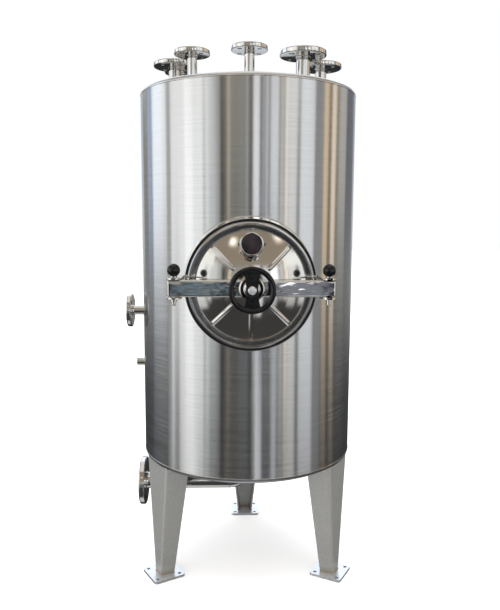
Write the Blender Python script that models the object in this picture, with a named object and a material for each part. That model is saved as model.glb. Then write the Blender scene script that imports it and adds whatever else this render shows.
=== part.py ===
"""Upright stainless steel storage tank of about 500 litres on three legs.

All sizes are in metres. The pieces hang on an empty that stands on the floor on the tank's axis,
with the manway looking towards -Y. The world's origin is under the middle of the whole tank,
fittings included. Turned pieces are drawn as (radius, height) outlines and spun about their axis.
"""
import math

import bmesh
import bpy
from mathutils import Matrix, Vector

GAP = 0.0003                      # left between pieces that touch
OVERSHOOT = 0.010                 # how far a cutter runs past the face that it cuts

# Facets round a turned piece
BIG_STEPS = 48
MANWAY_STEPS = 40
SMALL_STEPS = 24
PIN_STEPS = 16
BOLT_HOLE_STEPS = 9
PLATE_HOLE_STEPS = 8

# Vessel
TANK_RADIUS = 0.354
WALL = 0.004
SHELL_BOTTOM = 0.404
SHELL_TOP = 1.580
TOP_KNUCKLE = 0.012
TOP_SLOPE = math.radians(11)      # slope of the dish where it meets the knuckle
BOTTOM_KNUCKLE = 0.016
BOTTOM_SLOPE = math.radians(18)
CUT_START = 0.300                 # cutters of the shell run from here outwards
CUT_LENGTH = 0.160

# Manway, measured along its own axis from the tank axis towards -Y
MANWAY_Z = 0.996
NECK_RADIUS = 0.160
NECK_WALL = 0.005
NECK_BACK = 0.280                 # before it is trimmed to the inside of the shell
NECK_TRIM = 0.300                 # half height of the form that trims it
LIP_RADIUS = 0.187
LIP_BACK = 0.403
LIP_FRONT = 0.415
LIP_EDGE = 0.003

# Cover: a pressed dome inside a flat land, with a gasket under the land
COVER_RADIUS = 0.178
COVER_EDGE = 0.004
COVER_LAND = 0.4265
COVER_BACK = LIP_FRONT + 2 * GAP
LAND_FOOT = 0.158
LAND_INNER = 0.161
LAND_OUTER = 0.173
DOME_RADIUS = 0.155
DOME_START = 0.4195
DOME_DEPTH = 0.038
DOME_STEPS = 4
DOME_INSIDE = 0.98                # size of the dome's inner face beside its outer face
SHEET = 0.004
GASKET_INNER = 0.159
GASKET_OUTER = 0.172
GASKET_FRONT = 0.4208
GROOVE_INNER = 0.158
GROOVE_OUTER = 0.174

# Pressed ribs of the cover
RIB_SPACING = 45                  # degrees
GLASS_ANGLE = 90                  # the sight glass takes the place of a rib
RIB_INNER = 0.070
RIB_OUTER = 0.150
RIB_STATIONS = 4
RIB_SIDES = 8
RIB_HALF_WIDTH = 0.006
RIB_HEIGHT = 0.0037
RIB_END_WIDTH = 0.55              # share of the full width at both ends
RIB_START_HEIGHT = 0.4            # share of the full height at the inner end

# Yoke bar across the manway: a channel with solid ends
BAR_HALF_LENGTH = 0.225
BAR_HALF_HEIGHT = 0.0225
BAR_BACK = 0.480
BAR_FRONT = 0.512
BAR_WALL = 0.004
END_BLOCK = 0.172                 # distance of the solid ends from the middle

# Pins at both ends of the bar
PIN_X = 0.208
PIN_Y = 0.496
PIN_RADIUS = 0.006
PIN_CLEARANCE = 0.0006
PIN_BOTTOM = -0.047               # below the manway centre
PIN_TIP = 0.003
PIN_TIP_RADIUS = 0.0036
PIN_NUT_RADIUS = 0.009
PIN_NUT = 0.007
SHOULDER_RADIUS = 0.010
SHOULDER = 0.004
BALL_RADIUS = 0.0175
BALL_STEPS = 6
BALL_ARC = math.radians(150)      # from the top of the ball down to its foot

# Hinge and latch brackets, two ears each
EAR_IN = 0.0235                   # from the manway centre to the near face of an ear
EAR_OUT = 0.0285
EAR_RADIUS = 0.0195
EAR_STEPS = 8
EAR_SIDE = 0.1875                 # clears the cover and the lip
BRACKET_INNER = 0.150
BRACKET_BACK = 0.385
BRACKET_WEB = 0.006
LATCH_SLOT = 0.0072               # half width of the open slot

# Screw, nut and centre boss
SCREW_RADIUS = 0.008
SCREW_CLEARANCE = 0.0008
SCREW_END = 0.5515
BOSS_RADIUS = 0.013
BOSS_FRONT = 0.4725
BOSS_FLOOR = 0.4600
NUT_PLATE_RADIUS = 0.035
NUT_PLATE = 0.005
NUT_RADIUS = 0.017
NUT_LENGTH = 0.015

# Handwheel: a round rim joined to the hub by a waisted web with two windows
WHEEL_RADIUS = 0.062
WHEEL_RIM = 0.013
WHEEL_PLANE = 0.5555
RIM_SECTION = 0.0068
RIM_ARC = 150                     # degrees, from the middle of the rim to the web
RIM_STEPS = 6
WEB_HALF = 0.004
WEB_ROOT = 0.016
HUB_RADIUS = 0.015
HUB_EDGE = 0.002
HUB_BACK = 0.5345
HUB_SHOULDER = 0.5485
HUB_FRONT = 0.5605
HUB_BORE_END = 0.552
WINDOW_REACH = 0.048
WINDOW_DEPTH = 0.020
WINDOW_STEPS = 10
WAIST_STEPS = 8
SPOKE_AT_RIM = 0.022              # half width
SPOKE_AT_HUB = 0.0155
CAP_RADIUS = 0.0113
CAP_HEIGHT = 0.0052
CAP_CROWN = 0.0068                # radius of the cap's flat middle
CAP_EDGE = 0.002

# Sight glass above the middle of the cover
GLASS_OFFSET = 0.1177
GLASS_NECK_RADIUS = 0.030
GLASS_NECK_BORE = 0.025
GLASS_NECK_FRONT = 0.487
GLASS_RADIUS = 0.0287
GLASS_THICKNESS = 0.006
GLASS_RING_RADIUS = 0.0325
GLASS_RING_LIP = 0.0275
GLASS_RING_FRONT = 0.003
GLASS_RING_EDGE = 0.001
GLASS_RING_SKIRT = 0.010
LUG_X = 0.0345
LUG_HALF_WIDTH = 0.003
LUG_HALF_HEIGHT = 0.004
LUG_RECESS = 0.004

# Plate flanges: outer radius, thickness, bolt circle radius, bolt hole radius, pipe radius
DN25 = (0.0575, 0.016, 0.0425, 0.007, 0.016)
DN32 = (0.0700, 0.016, 0.0500, 0.009, 0.019)
DN40 = (0.0750, 0.018, 0.0550, 0.009, 0.0225)
DN50 = (0.0825, 0.020, 0.0625, 0.009, 0.0285)
PIPE_WALL = 0.003
PIPE_RECESS = 0.004               # from a flange's face back to the pipe's end
PIPE_INSIDE = 0.003               # how far a pipe stands into the vessel

# Top nozzles: name, flange size, x, y, height of the flange's underside
TOP_NOZZLES = (
    ("left_outer", DN32, -0.248, 0.045, 1.690),
    ("left_inner", DN25, -0.180, -0.090, 1.696),
    ("centre", DN25, 0.000, -0.150, 1.696),
    ("right_inner", DN40, 0.172, -0.090, 1.696),
    ("right_outer", DN32, 0.247, 0.045, 1.690),
    ("rear", DN25, -0.237, 0.175, 1.700),
)

# Fittings on the left side
SIDE_NOZZLE_Z = 0.873
SIDE_NOZZLE_FACE = 0.410          # distance of the flange face from the tank axis
SOCKET_Z = 0.693
SOCKET_FACE = 0.382
SOCKET_RADIUS = 0.0132
SOCKET_WALL = 0.004

# Drain: down from the middle of the bottom and round to the left
DRAIN_Z = 0.262
DRAIN_BEND = 0.060
DRAIN_BEND_STEPS = 5
DRAIN_FACE = 0.3745

# Legs: tapered channels, open towards the tank axis
LEG_ANGLES = (("front_left", -150), ("front_right", -30), ("rear", 90))
LEG_WEB = 0.3455                  # radius of the web's outer face
LEG_WEB_FOOT = 0.0214             # half width of the web at the floor
LEG_WEB_TAPER = 0.139             # growth of that half width for each metre up
LEG_MOUTH = 0.2993                # radius of the open side at the floor
LEG_MOUTH_DEEPENS = 0.103
LEG_MOUTH_FOOT = 0.0271
LEG_MOUTH_TAPER = 0.107
LEG_SHEET = 0.005
LEG_BEND = 0.005
LEG_BEND_INSIDE = 0.002
LEG_TOP = 0.420                   # before it is trimmed under the bottom head
LEG_TRIM_TOP = 0.500

# Base plates
PLATE_SIDE = 0.108
PLATE_THICKNESS = 0.008
PLATE_CENTRE = 0.324
PLATE_CORNER = 0.010
PLATE_CORNER_STEPS = 3
PLATE_HOLE = 0.006
PLATE_HOLE_INSET = 0.015

# Place of the tank axis in the world, which puts the origin under the middle of the whole tank
CAP_FRONT = HUB_FRONT + GAP + CAP_HEIGHT
AXIS_X = (SIDE_NOZZLE_FACE - TANK_RADIUS) / 2
AXIS_Y = (CAP_FRONT - PLATE_CENTRE - PLATE_SIDE / 2) / 2

FRONT = Vector((0.0, -1.0, 0.0))
LEFT = Vector((-1.0, 0.0, 0.0))
UP = Vector((0.0, 0.0, 1.0))
MANWAY = Vector((0.0, 0.0, MANWAY_Z))
SMOOTH_ANGLE = math.radians(35)


def clear_scene():
    for old in list(bpy.data.objects):
        bpy.data.objects.remove(old, do_unlink=True)


def marker(name, place, parent=None):
    """An empty that other pieces hang on."""
    made = bpy.data.objects.new(name, None)
    bpy.context.collection.objects.link(made)
    made.location = place
    made.parent = parent
    return made


def hang(piece, pivot):
    """Hand a piece from the tank axis to another empty, without moving it."""
    piece.parent = pivot
    piece.location -= pivot.location


def finish(name, colour, metallic, roughness):
    made = bpy.data.materials.new(name)
    made.use_nodes = True
    shader = made.node_tree.nodes["Principled BSDF"]
    shader.inputs["Base Color"].default_value = (*colour, 1.0)
    shader.inputs["Metallic"].default_value = metallic
    shader.inputs["Roughness"].default_value = roughness
    return made


def object_from(name, mesh_builder, material=None):
    mesh = bpy.data.meshes.new(name)
    bmesh.ops.recalc_face_normals(mesh_builder, faces=mesh_builder.faces)
    mesh_builder.to_mesh(mesh)
    mesh_builder.free()
    made = bpy.data.objects.new(name, mesh)
    bpy.context.collection.objects.link(made)
    made.parent = bpy.data.objects["tank_axis"]
    if material:
        mesh.materials.append(material)
        mesh.shade_smooth()
        mesh.set_sharp_from_angle(angle=SMOOTH_ANGLE)
    return made


def aim(made, foot, direction):
    """Stand an object made along +Z on a foot point, pointing in a direction."""
    made.rotation_mode = "QUATERNION"
    made.rotation_quaternion = UP.rotation_difference(direction)
    made.location = foot
    return made


def turned(name, outline, material=None, steps=SMALL_STEPS, foot=(0, 0, 0), direction=UP):
    """Spin an outline of (radius, height) points. It is closed unless it starts on the axis."""
    builder = bmesh.new()
    points = [builder.verts.new((radius, 0.0, height)) for radius, height in outline]
    edges = [builder.edges.new(pair) for pair in zip(points, points[1:])]
    if outline[0][0] > 0:
        edges.append(builder.edges.new((points[-1], points[0])))
    bmesh.ops.spin(builder, geom=points + edges, cent=(0, 0, 0), axis=(0, 0, 1),
                   angle=math.tau, steps=steps, use_merge=True)
    bmesh.ops.remove_doubles(builder, verts=builder.verts, dist=1e-6)
    return aim(object_from(name, builder, material), foot, direction)


def prism(name, outline, low, high, material=None):
    """Extrude a flat outline of (x, y) points from height low to height high."""
    builder = bmesh.new()
    base = builder.faces.new([builder.verts.new((x, y, low)) for x, y in outline])
    grown = bmesh.ops.extrude_face_region(builder, geom=[base])
    moved = [item for item in grown["geom"] if isinstance(item, bmesh.types.BMVert)]
    bmesh.ops.translate(builder, verts=moved, vec=(0, 0, high - low))
    return object_from(name, builder, material)


def block(name, low, high, material=None):
    outline = [(low[0], low[1]), (high[0], low[1]), (high[0], high[1]), (low[0], high[1])]
    return prism(name, outline, low[2], high[2], material)


def bridge(builder, near, far):
    """Join two rings of the same number of vertices by a band of faces."""
    count = len(near)
    for corner in range(count):
        beside = (corner + 1) % count
        builder.faces.new((near[corner], near[beside], far[beside], far[corner]))


def combine(target, tool, operation="DIFFERENCE"):
    tool.hide_render = True
    tool.display_type = "WIRE"
    step = target.modifiers.new(tool.name, "BOOLEAN")
    step.operation = operation
    step.solver = "EXACT"
    step.object = tool


def drill(target, foot, direction, radius, depth, steps=SMALL_STEPS):
    """Cut a round hole that starts at foot and runs in a direction."""
    outline = [(0, depth), (radius, depth), (radius, 0), (0, 0)]
    combine(target, turned(target.name + "_drill", outline, None, steps, foot, direction))


def arc(centre, radius, start, end, count):
    """Points on an arc, angles in degrees."""
    angles = [math.radians(start + (end - start) * step / count) for step in range(count + 1)]
    return [(centre[0] + radius * math.cos(a), centre[1] + radius * math.sin(a)) for a in angles]


def on_manway(distance, x=0.0, z=0.0):
    """A point at a distance in front of the tank axis, beside and above the manway centre."""
    return Vector((x, -distance, MANWAY_Z + z))


class DishedEnd:
    """A dished end: a knuckle that starts at the rim and a shallow sphere."""

    def __init__(self, rim_z, knuckle, slope, way):
        self.rim_z = rim_z
        self.knuckle = knuckle
        self.slope = slope
        self.way = way
        self.knuckle_radius = TANK_RADIUS - knuckle
        self.sphere = self.knuckle_radius / math.sin(slope) + knuckle
        self.sphere_z = rim_z - way * self.knuckle_radius / math.tan(slope)

    def height(self, radius, inset=0.0):
        return self.sphere_z + self.way * math.sqrt((self.sphere - inset) ** 2 - radius ** 2)

    def side(self, inset, hole, knuckle_steps=2, dish_steps=2):
        """Points from the rim to the central hole, on a surface set in by an inset."""
        bend = self.knuckle - inset
        points = []
        for step in range(knuckle_steps + 1):
            angle = (math.pi / 2 - self.slope) * step / knuckle_steps
            points.append((self.knuckle_radius + bend * math.cos(angle),
                           self.rim_z + self.way * bend * math.sin(angle)))
        last = points[-1][0]
        for step in range(1, dish_steps + 1):
            radius = last + (hole - last) * step / dish_steps
            points.append((radius, self.height(radius, inset)))
        return points


TOP_END = DishedEnd(SHELL_TOP + GAP, TOP_KNUCKLE, TOP_SLOPE, 1)
BOTTOM_END = DishedEnd(SHELL_BOTTOM - GAP, BOTTOM_KNUCKLE, BOTTOM_SLOPE, -1)


def vessel(steel):
    inner = TANK_RADIUS - WALL
    outline = [(TANK_RADIUS, SHELL_TOP), (TANK_RADIUS, SHELL_BOTTOM),
               (inner, SHELL_BOTTOM), (inner, SHELL_TOP)]
    shell = turned("shell", outline, steel, BIG_STEPS)
    drill(shell, MANWAY + FRONT * CUT_START, FRONT, NECK_RADIUS + GAP, CUT_LENGTH, MANWAY_STEPS)
    for height, radius in ((SIDE_NOZZLE_Z, DN25[4]), (SOCKET_Z, SOCKET_RADIUS)):
        foot = LEFT * CUT_START + UP * height
        drill(shell, foot, LEFT, radius + GAP, CUT_LENGTH, PIN_STEPS)

    top = dished_end("top_head", TOP_END, steel, 0.0)
    for _, size, x, y, _ in TOP_NOZZLES:
        drill(top, Vector((x, y, SHELL_TOP)), UP, size[4] + GAP, CUT_LENGTH, PIN_STEPS)
    dished_end("bottom_head", BOTTOM_END, steel, DN50[4] + GAP)


def dished_end(name, form, steel, hole):
    outline = form.side(0.0, hole)[::-1] + form.side(WALL, hole)
    return turned(name, outline, steel, BIG_STEPS)


def manway_neck(steel):
    """A short neck with a turned lip, cut to the curve of the shell at its back."""
    bore = NECK_RADIUS - NECK_WALL
    outline = [(bore, LIP_FRONT), (LIP_RADIUS - LIP_EDGE, LIP_FRONT),
               (LIP_RADIUS, LIP_FRONT - LIP_EDGE), (LIP_RADIUS, LIP_BACK),
               (NECK_RADIUS, LIP_BACK), (NECK_RADIUS, NECK_BACK), (bore, NECK_BACK)]
    collar = turned("manway_collar", outline, steel, MANWAY_STEPS, MANWAY, FRONT)
    inside = TANK_RADIUS - WALL
    trim = [(0, NECK_TRIM), (inside, NECK_TRIM), (inside, -NECK_TRIM), (0, -NECK_TRIM)]
    combine(collar, turned("collar_trim", trim, None, BIG_STEPS, MANWAY))


def dome_height(radius):
    ball = (DOME_RADIUS ** 2 + DOME_DEPTH ** 2) / (2 * DOME_DEPTH)
    return DOME_START + math.sqrt(ball ** 2 - radius ** 2) - math.sqrt(ball ** 2 - DOME_RADIUS ** 2)


def rib(angle):
    """A pressed rib: an oval bar that follows the dome outwards from the middle."""
    builder = bmesh.new()
    rings = []
    for step in range(RIB_STATIONS):
        radius = RIB_INNER + (RIB_OUTER - RIB_INNER) * step / (RIB_STATIONS - 1)
        width = RIB_HALF_WIDTH * (RIB_END_WIDTH if step in (0, RIB_STATIONS - 1) else 1.0)
        height = RIB_HEIGHT * (RIB_START_HEIGHT if step == 0 else 1.0)
        ring = []
        for corner in range(RIB_SIDES):
            turn = math.tau * corner / RIB_SIDES
            point = (radius, width * math.cos(turn), dome_height(radius) + height * math.sin(turn))
            ring.append(builder.verts.new(point))
        rings.append(ring)
    for near, far in zip(rings, rings[1:]):
        bridge(builder, near, far)
    builder.faces.new(rings[0])
    builder.faces.new(rings[-1])
    bmesh.ops.rotate(builder, verts=builder.verts, cent=(0, 0, 0),
                     matrix=Matrix.Rotation(math.radians(angle), 3, "Z"))
    return aim(object_from("rib_form", builder), MANWAY, FRONT)


def manway_cover(steel, rubber):
    radii = [DOME_RADIUS * step / DOME_STEPS for step in range(DOME_STEPS + 1)]
    front = [(radius, dome_height(radius)) for radius in radii]
    groove = GASKET_FRONT + GAP
    rim = [(LAND_FOOT, DOME_START), (LAND_INNER, COVER_LAND), (LAND_OUTER, COVER_LAND),
           (COVER_RADIUS, COVER_LAND - COVER_EDGE), (COVER_RADIUS, COVER_BACK),
           (GROOVE_OUTER, COVER_BACK), (GROOVE_OUTER, groove), (GROOVE_INNER, groove),
           (GROOVE_INNER, COVER_BACK)]
    back = [(radius * DOME_INSIDE, height - SHEET) for radius, height in front[::-1]]
    cover = turned("manway_cover", front + rim + back, steel, MANWAY_STEPS, MANWAY, FRONT)
    for angle in range(0, 360, RIB_SPACING):
        if angle != GLASS_ANGLE:
            combine(cover, rib(angle), "UNION")
    foot = on_manway(LIP_BACK, z=GLASS_OFFSET)
    drill(cover, foot, FRONT, GLASS_NECK_RADIUS + GAP, GLASS_NECK_FRONT - LIP_BACK)

    outline = [(GASKET_INNER, GASKET_FRONT), (GASKET_OUTER, GASKET_FRONT),
               (GASKET_OUTER, LIP_FRONT + GAP), (GASKET_INNER, LIP_FRONT + GAP)]
    turned("manway_gasket", outline, rubber, MANWAY_STEPS, MANWAY, FRONT)


def cover_boss(steel):
    """The cup on the dome that holds the tip of the screw."""
    bore = SCREW_RADIUS + SCREW_CLEARANCE
    foot = dome_height(0) + GAP
    outline = [(0, BOSS_FLOOR), (bore, BOSS_FLOOR), (bore, BOSS_FRONT), (BOSS_RADIUS, BOSS_FRONT),
               (BOSS_RADIUS, foot), (0, foot)]
    turned("cover_boss", outline, steel, PIN_STEPS, MANWAY, FRONT)


def sight_glass(steel, glass):
    """A short neck through the cover, a round glass on it and a ring that clamps the glass."""
    foot = on_manway(0.0, z=GLASS_OFFSET)
    neck_back = dome_height(GLASS_OFFSET + GLASS_NECK_RADIUS) - SHEET
    outline = [(GLASS_NECK_BORE, GLASS_NECK_FRONT), (GLASS_NECK_RADIUS, GLASS_NECK_FRONT),
               (GLASS_NECK_RADIUS, neck_back), (GLASS_NECK_BORE, neck_back)]
    turned("sight_glass_neck", outline, steel, SMALL_STEPS, foot, FRONT)

    back = GLASS_NECK_FRONT + GAP
    front = back + GLASS_THICKNESS
    outline = [(0, front), (GLASS_RADIUS, front), (GLASS_RADIUS, back), (0, back)]
    turned("sight_glass", outline, glass, SMALL_STEPS, foot, FRONT)

    around_neck = GLASS_NECK_RADIUS + GAP
    around_glass = GLASS_RADIUS + GAP
    face = front + GLASS_RING_FRONT
    outline = [(GLASS_RING_LIP, face), (GLASS_RING_RADIUS - GLASS_RING_EDGE, face),
               (GLASS_RING_RADIUS, face - GLASS_RING_EDGE),
               (GLASS_RING_RADIUS, back - GLASS_RING_SKIRT),
               (around_neck, back - GLASS_RING_SKIRT), (around_neck, back),
               (around_glass, back), (around_glass, front + GAP), (GLASS_RING_LIP, front + GAP)]
    ring = turned("sight_glass_ring", outline, steel, SMALL_STEPS, foot, FRONT)
    for side in (-1, 1):
        centre_z = MANWAY_Z + GLASS_OFFSET
        low = (side * LUG_X - LUG_HALF_WIDTH, -front, centre_z - LUG_HALF_HEIGHT)
        high = (side * LUG_X + LUG_HALF_WIDTH, LUG_RECESS - back, centre_z + LUG_HALF_HEIGHT)
        combine(ring, block("ring_lug", low, high), "UNION")


def drill_for_pin(target, side):
    foot = on_manway(PIN_Y, side * PIN_X, -EAR_OUT - OVERSHOOT)
    drill(target, foot, UP, PIN_RADIUS + PIN_CLEARANCE, 2 * (EAR_OUT + OVERSHOOT))


def yoke(steel):
    bar = block("yoke_bar", (-BAR_HALF_LENGTH, -BAR_FRONT, MANWAY_Z - BAR_HALF_HEIGHT),
                (BAR_HALF_LENGTH, -BAR_BACK, MANWAY_Z + BAR_HALF_HEIGHT), steel)
    inside = BAR_HALF_HEIGHT - BAR_WALL
    low = (-END_BLOCK, BAR_WALL - BAR_FRONT, MANWAY_Z - inside)
    high = (END_BLOCK, OVERSHOOT - BAR_BACK, MANWAY_Z + inside)
    combine(bar, block("bar_hollow", low, high))
    screw_hole = SCREW_RADIUS + SCREW_CLEARANCE
    drill(bar, on_manway(BAR_BACK), FRONT, screw_hole, BAR_FRONT - BAR_BACK + OVERSHOOT)
    for side in (-1, 1):
        drill_for_pin(bar, side)

    base = BAR_FRONT + GAP
    top = base + NUT_LENGTH
    outline = [(screw_hole, top), (NUT_RADIUS, top), (NUT_RADIUS, base + NUT_PLATE),
               (NUT_PLATE_RADIUS, base + NUT_PLATE), (NUT_PLATE_RADIUS, base), (screw_hole, base)]
    nut = turned("screw_nut", outline, steel, SMALL_STEPS, MANWAY, FRONT)

    hinge = marker("yoke_hinge", on_manway(PIN_Y, -PIN_X), bpy.data.objects["tank_axis"])
    hang(bar, hinge)
    hang(nut, hinge)


def bracket(name, side, steel):
    """Two ears joined by a web. The latch side has slots that are open to the front."""
    tip = arc((PIN_X, PIN_Y), EAR_RADIUS, 0, 180, EAR_STEPS)
    outline = [(BRACKET_INNER, BRACKET_BACK), (PIN_X + EAR_RADIUS, BRACKET_BACK)] + tip + \
        [(EAR_SIDE, PIN_Y), (EAR_SIDE, LIP_BACK - GAP), (BRACKET_INNER, LIP_BACK - GAP)]
    outline = [(side * x, -distance) for x, distance in outline]
    made = prism(name, outline, MANWAY_Z - EAR_OUT, MANWAY_Z + EAR_OUT, steel)

    near = BRACKET_INNER - OVERSHOOT
    far = PIN_X + EAR_RADIUS + OVERSHOOT
    past_tip = PIN_Y + EAR_RADIUS + OVERSHOOT
    low = (min(side * near, side * far), -past_tip, MANWAY_Z - EAR_IN)
    high = (max(side * near, side * far), -BRACKET_BACK - BRACKET_WEB, MANWAY_Z + EAR_IN)
    combine(made, block(name + "_space", low, high))
    drill(made, MANWAY + FRONT * CUT_START, FRONT, NECK_RADIUS + GAP, CUT_LENGTH, MANWAY_STEPS)
    if side < 0:
        drill_for_pin(made, side)
        return

    slot = arc((PIN_X, -PIN_Y), LATCH_SLOT, 180, 0, EAR_STEPS)
    slot += [(PIN_X + LATCH_SLOT, -past_tip), (PIN_X - LATCH_SLOT, -past_tip)]
    reach = EAR_OUT + OVERSHOOT
    combine(made, prism(name + "_slot", slot, MANWAY_Z - reach, MANWAY_Z + reach))


def pin(name, side, steel, plastic):
    """A vertical pin through the ears and the bar with a ball on top."""
    shoulder = EAR_OUT + GAP
    ball_foot = shoulder + SHOULDER
    outline = [(0, ball_foot), (SHOULDER_RADIUS, ball_foot), (SHOULDER_RADIUS, shoulder),
               (PIN_RADIUS, shoulder)]
    if side < 0:
        nut = -shoulder
        outline += [(PIN_RADIUS, nut), (PIN_NUT_RADIUS, nut), (PIN_NUT_RADIUS, nut - PIN_NUT),
                    (PIN_RADIUS, nut - PIN_NUT)]
    outline += [(PIN_RADIUS, PIN_BOTTOM + PIN_TIP), (PIN_TIP_RADIUS, PIN_BOTTOM), (0, PIN_BOTTOM)]
    foot = on_manway(PIN_Y, side * PIN_X)
    turned(name, outline, steel, PIN_STEPS, foot)

    base = ball_foot + GAP
    centre = base + BALL_RADIUS * math.sin(BALL_ARC - math.pi / 2)
    ball = [(0, centre + BALL_RADIUS)]
    for step in range(1, BALL_STEPS + 1):
        angle = BALL_ARC * step / BALL_STEPS
        ball.append((BALL_RADIUS * math.sin(angle), centre + BALL_RADIUS * math.cos(angle)))
    turned(name + "_knob", ball + [(0, base)], plastic, PIN_STEPS, foot)


def wheel_window(side):
    """A cutter for the opening on one side of the handwheel's waisted web."""
    edge = math.degrees(math.acos(SPOKE_AT_RIM / WINDOW_REACH))
    top = WINDOW_REACH * math.sin(math.radians(edge))
    outline = arc((0, 0), WINDOW_REACH, -edge, edge, WINDOW_STEPS)
    for step in range(1, WAIST_STEPS):
        share = 1 - 2 * step / WAIST_STEPS
        outline.append((SPOKE_AT_HUB + (SPOKE_AT_RIM - SPOKE_AT_HUB) * share ** 2, top * share))
    outline = [(side * x, y) for x, y in outline]
    tool = prism("wheel_window", outline, WHEEL_PLANE - WINDOW_DEPTH, WHEEL_PLANE + WINDOW_DEPTH)
    return aim(tool, MANWAY, FRONT)


def handwheel(steel, plastic):
    screw_tip = BOSS_FLOOR + GAP
    outline = [(0, SCREW_END), (SCREW_RADIUS, SCREW_END), (SCREW_RADIUS, screw_tip), (0, screw_tip)]
    turned("screw_spindle", outline, steel, PIN_STEPS, MANWAY, FRONT)

    bore = SCREW_RADIUS + GAP
    rim_centre = (WHEEL_RADIUS - WHEEL_RIM / 2, WHEEL_PLANE)
    outline = [(0, HUB_FRONT), (HUB_RADIUS - HUB_EDGE, HUB_FRONT),
               (HUB_RADIUS, HUB_FRONT - HUB_EDGE), (WEB_ROOT, WHEEL_PLANE + WEB_HALF)]
    outline += arc(rim_centre, RIM_SECTION, RIM_ARC, -RIM_ARC, RIM_STEPS)
    outline += [(WEB_ROOT, WHEEL_PLANE - WEB_HALF), (HUB_RADIUS, HUB_SHOULDER),
                (HUB_RADIUS, HUB_BACK), (bore, HUB_BACK), (bore, HUB_BORE_END), (0, HUB_BORE_END)]
    wheel = turned("handwheel", outline, plastic, SMALL_STEPS, MANWAY, FRONT)
    for side in (-1, 1):
        combine(wheel, wheel_window(side))

    base = HUB_FRONT + GAP
    outline = [(0, CAP_FRONT), (CAP_CROWN, CAP_FRONT), (CAP_RADIUS, base + CAP_EDGE),
               (CAP_RADIUS, base), (0, base)]
    turned("handwheel_cap", outline, steel, PIN_STEPS, MANWAY, FRONT)


def flange(name, size, foot, direction, steel):
    """A plate flange with four bolt holes. It starts at foot and looks in a direction."""
    radius, thickness, bolt_circle, bolt_hole, pipe = size
    bore = pipe + GAP
    outline = [(bore, thickness), (radius, thickness), (radius, 0), (bore, 0)]
    made = turned(name, outline, steel, SMALL_STEPS, foot, direction)
    turn = UP.rotation_difference(direction)
    for quarter in range(4):
        angle = math.radians(45 + 90 * quarter)
        across = Vector((math.cos(angle), math.sin(angle), 0)) * bolt_circle
        start = foot + turn @ across - direction * OVERSHOOT
        drill(made, start, direction, bolt_hole, thickness + 2 * OVERSHOOT, BOLT_HOLE_STEPS)


def straight_pipe(name, radius, wall, foot, direction, length, steel):
    outline = [(radius - wall, length), (radius, length), (radius, 0), (radius - wall, 0)]
    turned(name, outline, steel, PIN_STEPS, foot, direction)


def top_nozzles(steel):
    for name, size, x, y, underside in TOP_NOZZLES:
        bottom = TOP_END.height(math.hypot(x, y)) - WALL - PIPE_INSIDE
        length = underside + size[1] - PIPE_RECESS - bottom
        straight_pipe(name + "_nozzle_pipe", size[4], PIPE_WALL, Vector((x, y, bottom)), UP,
                      length, steel)
        flange(name + "_nozzle_flange", size, Vector((x, y, underside)), UP, steel)


def side_fittings(steel):
    start = TANK_RADIUS - WALL - PIPE_INSIDE
    length = SIDE_NOZZLE_FACE - PIPE_RECESS - start
    straight_pipe("side_nozzle_pipe", DN25[4], PIPE_WALL, LEFT * start + UP * SIDE_NOZZLE_Z, LEFT,
                  length, steel)
    foot = LEFT * (SIDE_NOZZLE_FACE - DN25[1]) + UP * SIDE_NOZZLE_Z
    flange("side_nozzle_flange", DN25, foot, LEFT, steel)
    straight_pipe("sensor_socket", SOCKET_RADIUS, SOCKET_WALL, LEFT * start + UP * SOCKET_Z, LEFT,
                  SOCKET_FACE - start, steel)


def drain(steel):
    """A pipe that drops from the middle of the bottom head and bends to the left."""
    bend_centre = Vector((-DRAIN_BEND, 0, DRAIN_Z + DRAIN_BEND))
    path = [(UP * (BOTTOM_END.height(DN50[4]) + WALL), UP)]
    for step in range(DRAIN_BEND_STEPS + 1):
        angle = math.radians(90) * step / DRAIN_BEND_STEPS
        outwards = Vector((math.cos(angle), 0, -math.sin(angle)))
        along = Vector((math.sin(angle), 0, math.cos(angle)))
        path.append((bend_centre + DRAIN_BEND * outwards, along))
    path.append((LEFT * (DRAIN_FACE - PIPE_RECESS) + UP * DRAIN_Z, -LEFT))

    builder = bmesh.new()
    skins = []
    for radius in (DN50[4], DN50[4] - PIPE_WALL):
        rings = []
        for centre, along in path:
            across = along.cross(FRONT)
            turns = [math.tau * corner / PIN_STEPS for corner in range(PIN_STEPS)]
            rings.append([builder.verts.new(centre + radius * (across * math.cos(turn)
                                                               + FRONT * math.sin(turn)))
                          for turn in turns])
        for near, far in zip(rings, rings[1:]):
            bridge(builder, near, far)
        skins.append(rings)
    for end in (0, -1):
        bridge(builder, skins[0][end], skins[1][end])
    object_from("drain_pipe", builder, steel)
    flange("drain_flange", DN50, LEFT * (DRAIN_FACE - DN50[1]) + UP * DRAIN_Z, LEFT, steel)


def leg_section(z):
    """Outline of a leg at a height: x away from the tank axis, y across the leg."""
    web_half = LEG_WEB_FOOT + LEG_WEB_TAPER * z
    mouth_half = LEG_MOUTH_FOOT + LEG_MOUTH_TAPER * z
    mouth = LEG_MOUTH - LEG_MOUTH_DEEPENS * z
    inner_web = LEG_WEB - LEG_SHEET
    inner_half = web_half - LEG_SHEET
    half = [(LEG_WEB, web_half - LEG_BEND), (LEG_WEB - LEG_BEND, web_half),
            (mouth, mouth_half), (mouth, mouth_half - LEG_SHEET),
            (inner_web - LEG_BEND_INSIDE, inner_half), (inner_web, inner_half - LEG_BEND_INSIDE)]
    return half + [(x, -y) for x, y in half[::-1]]


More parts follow.
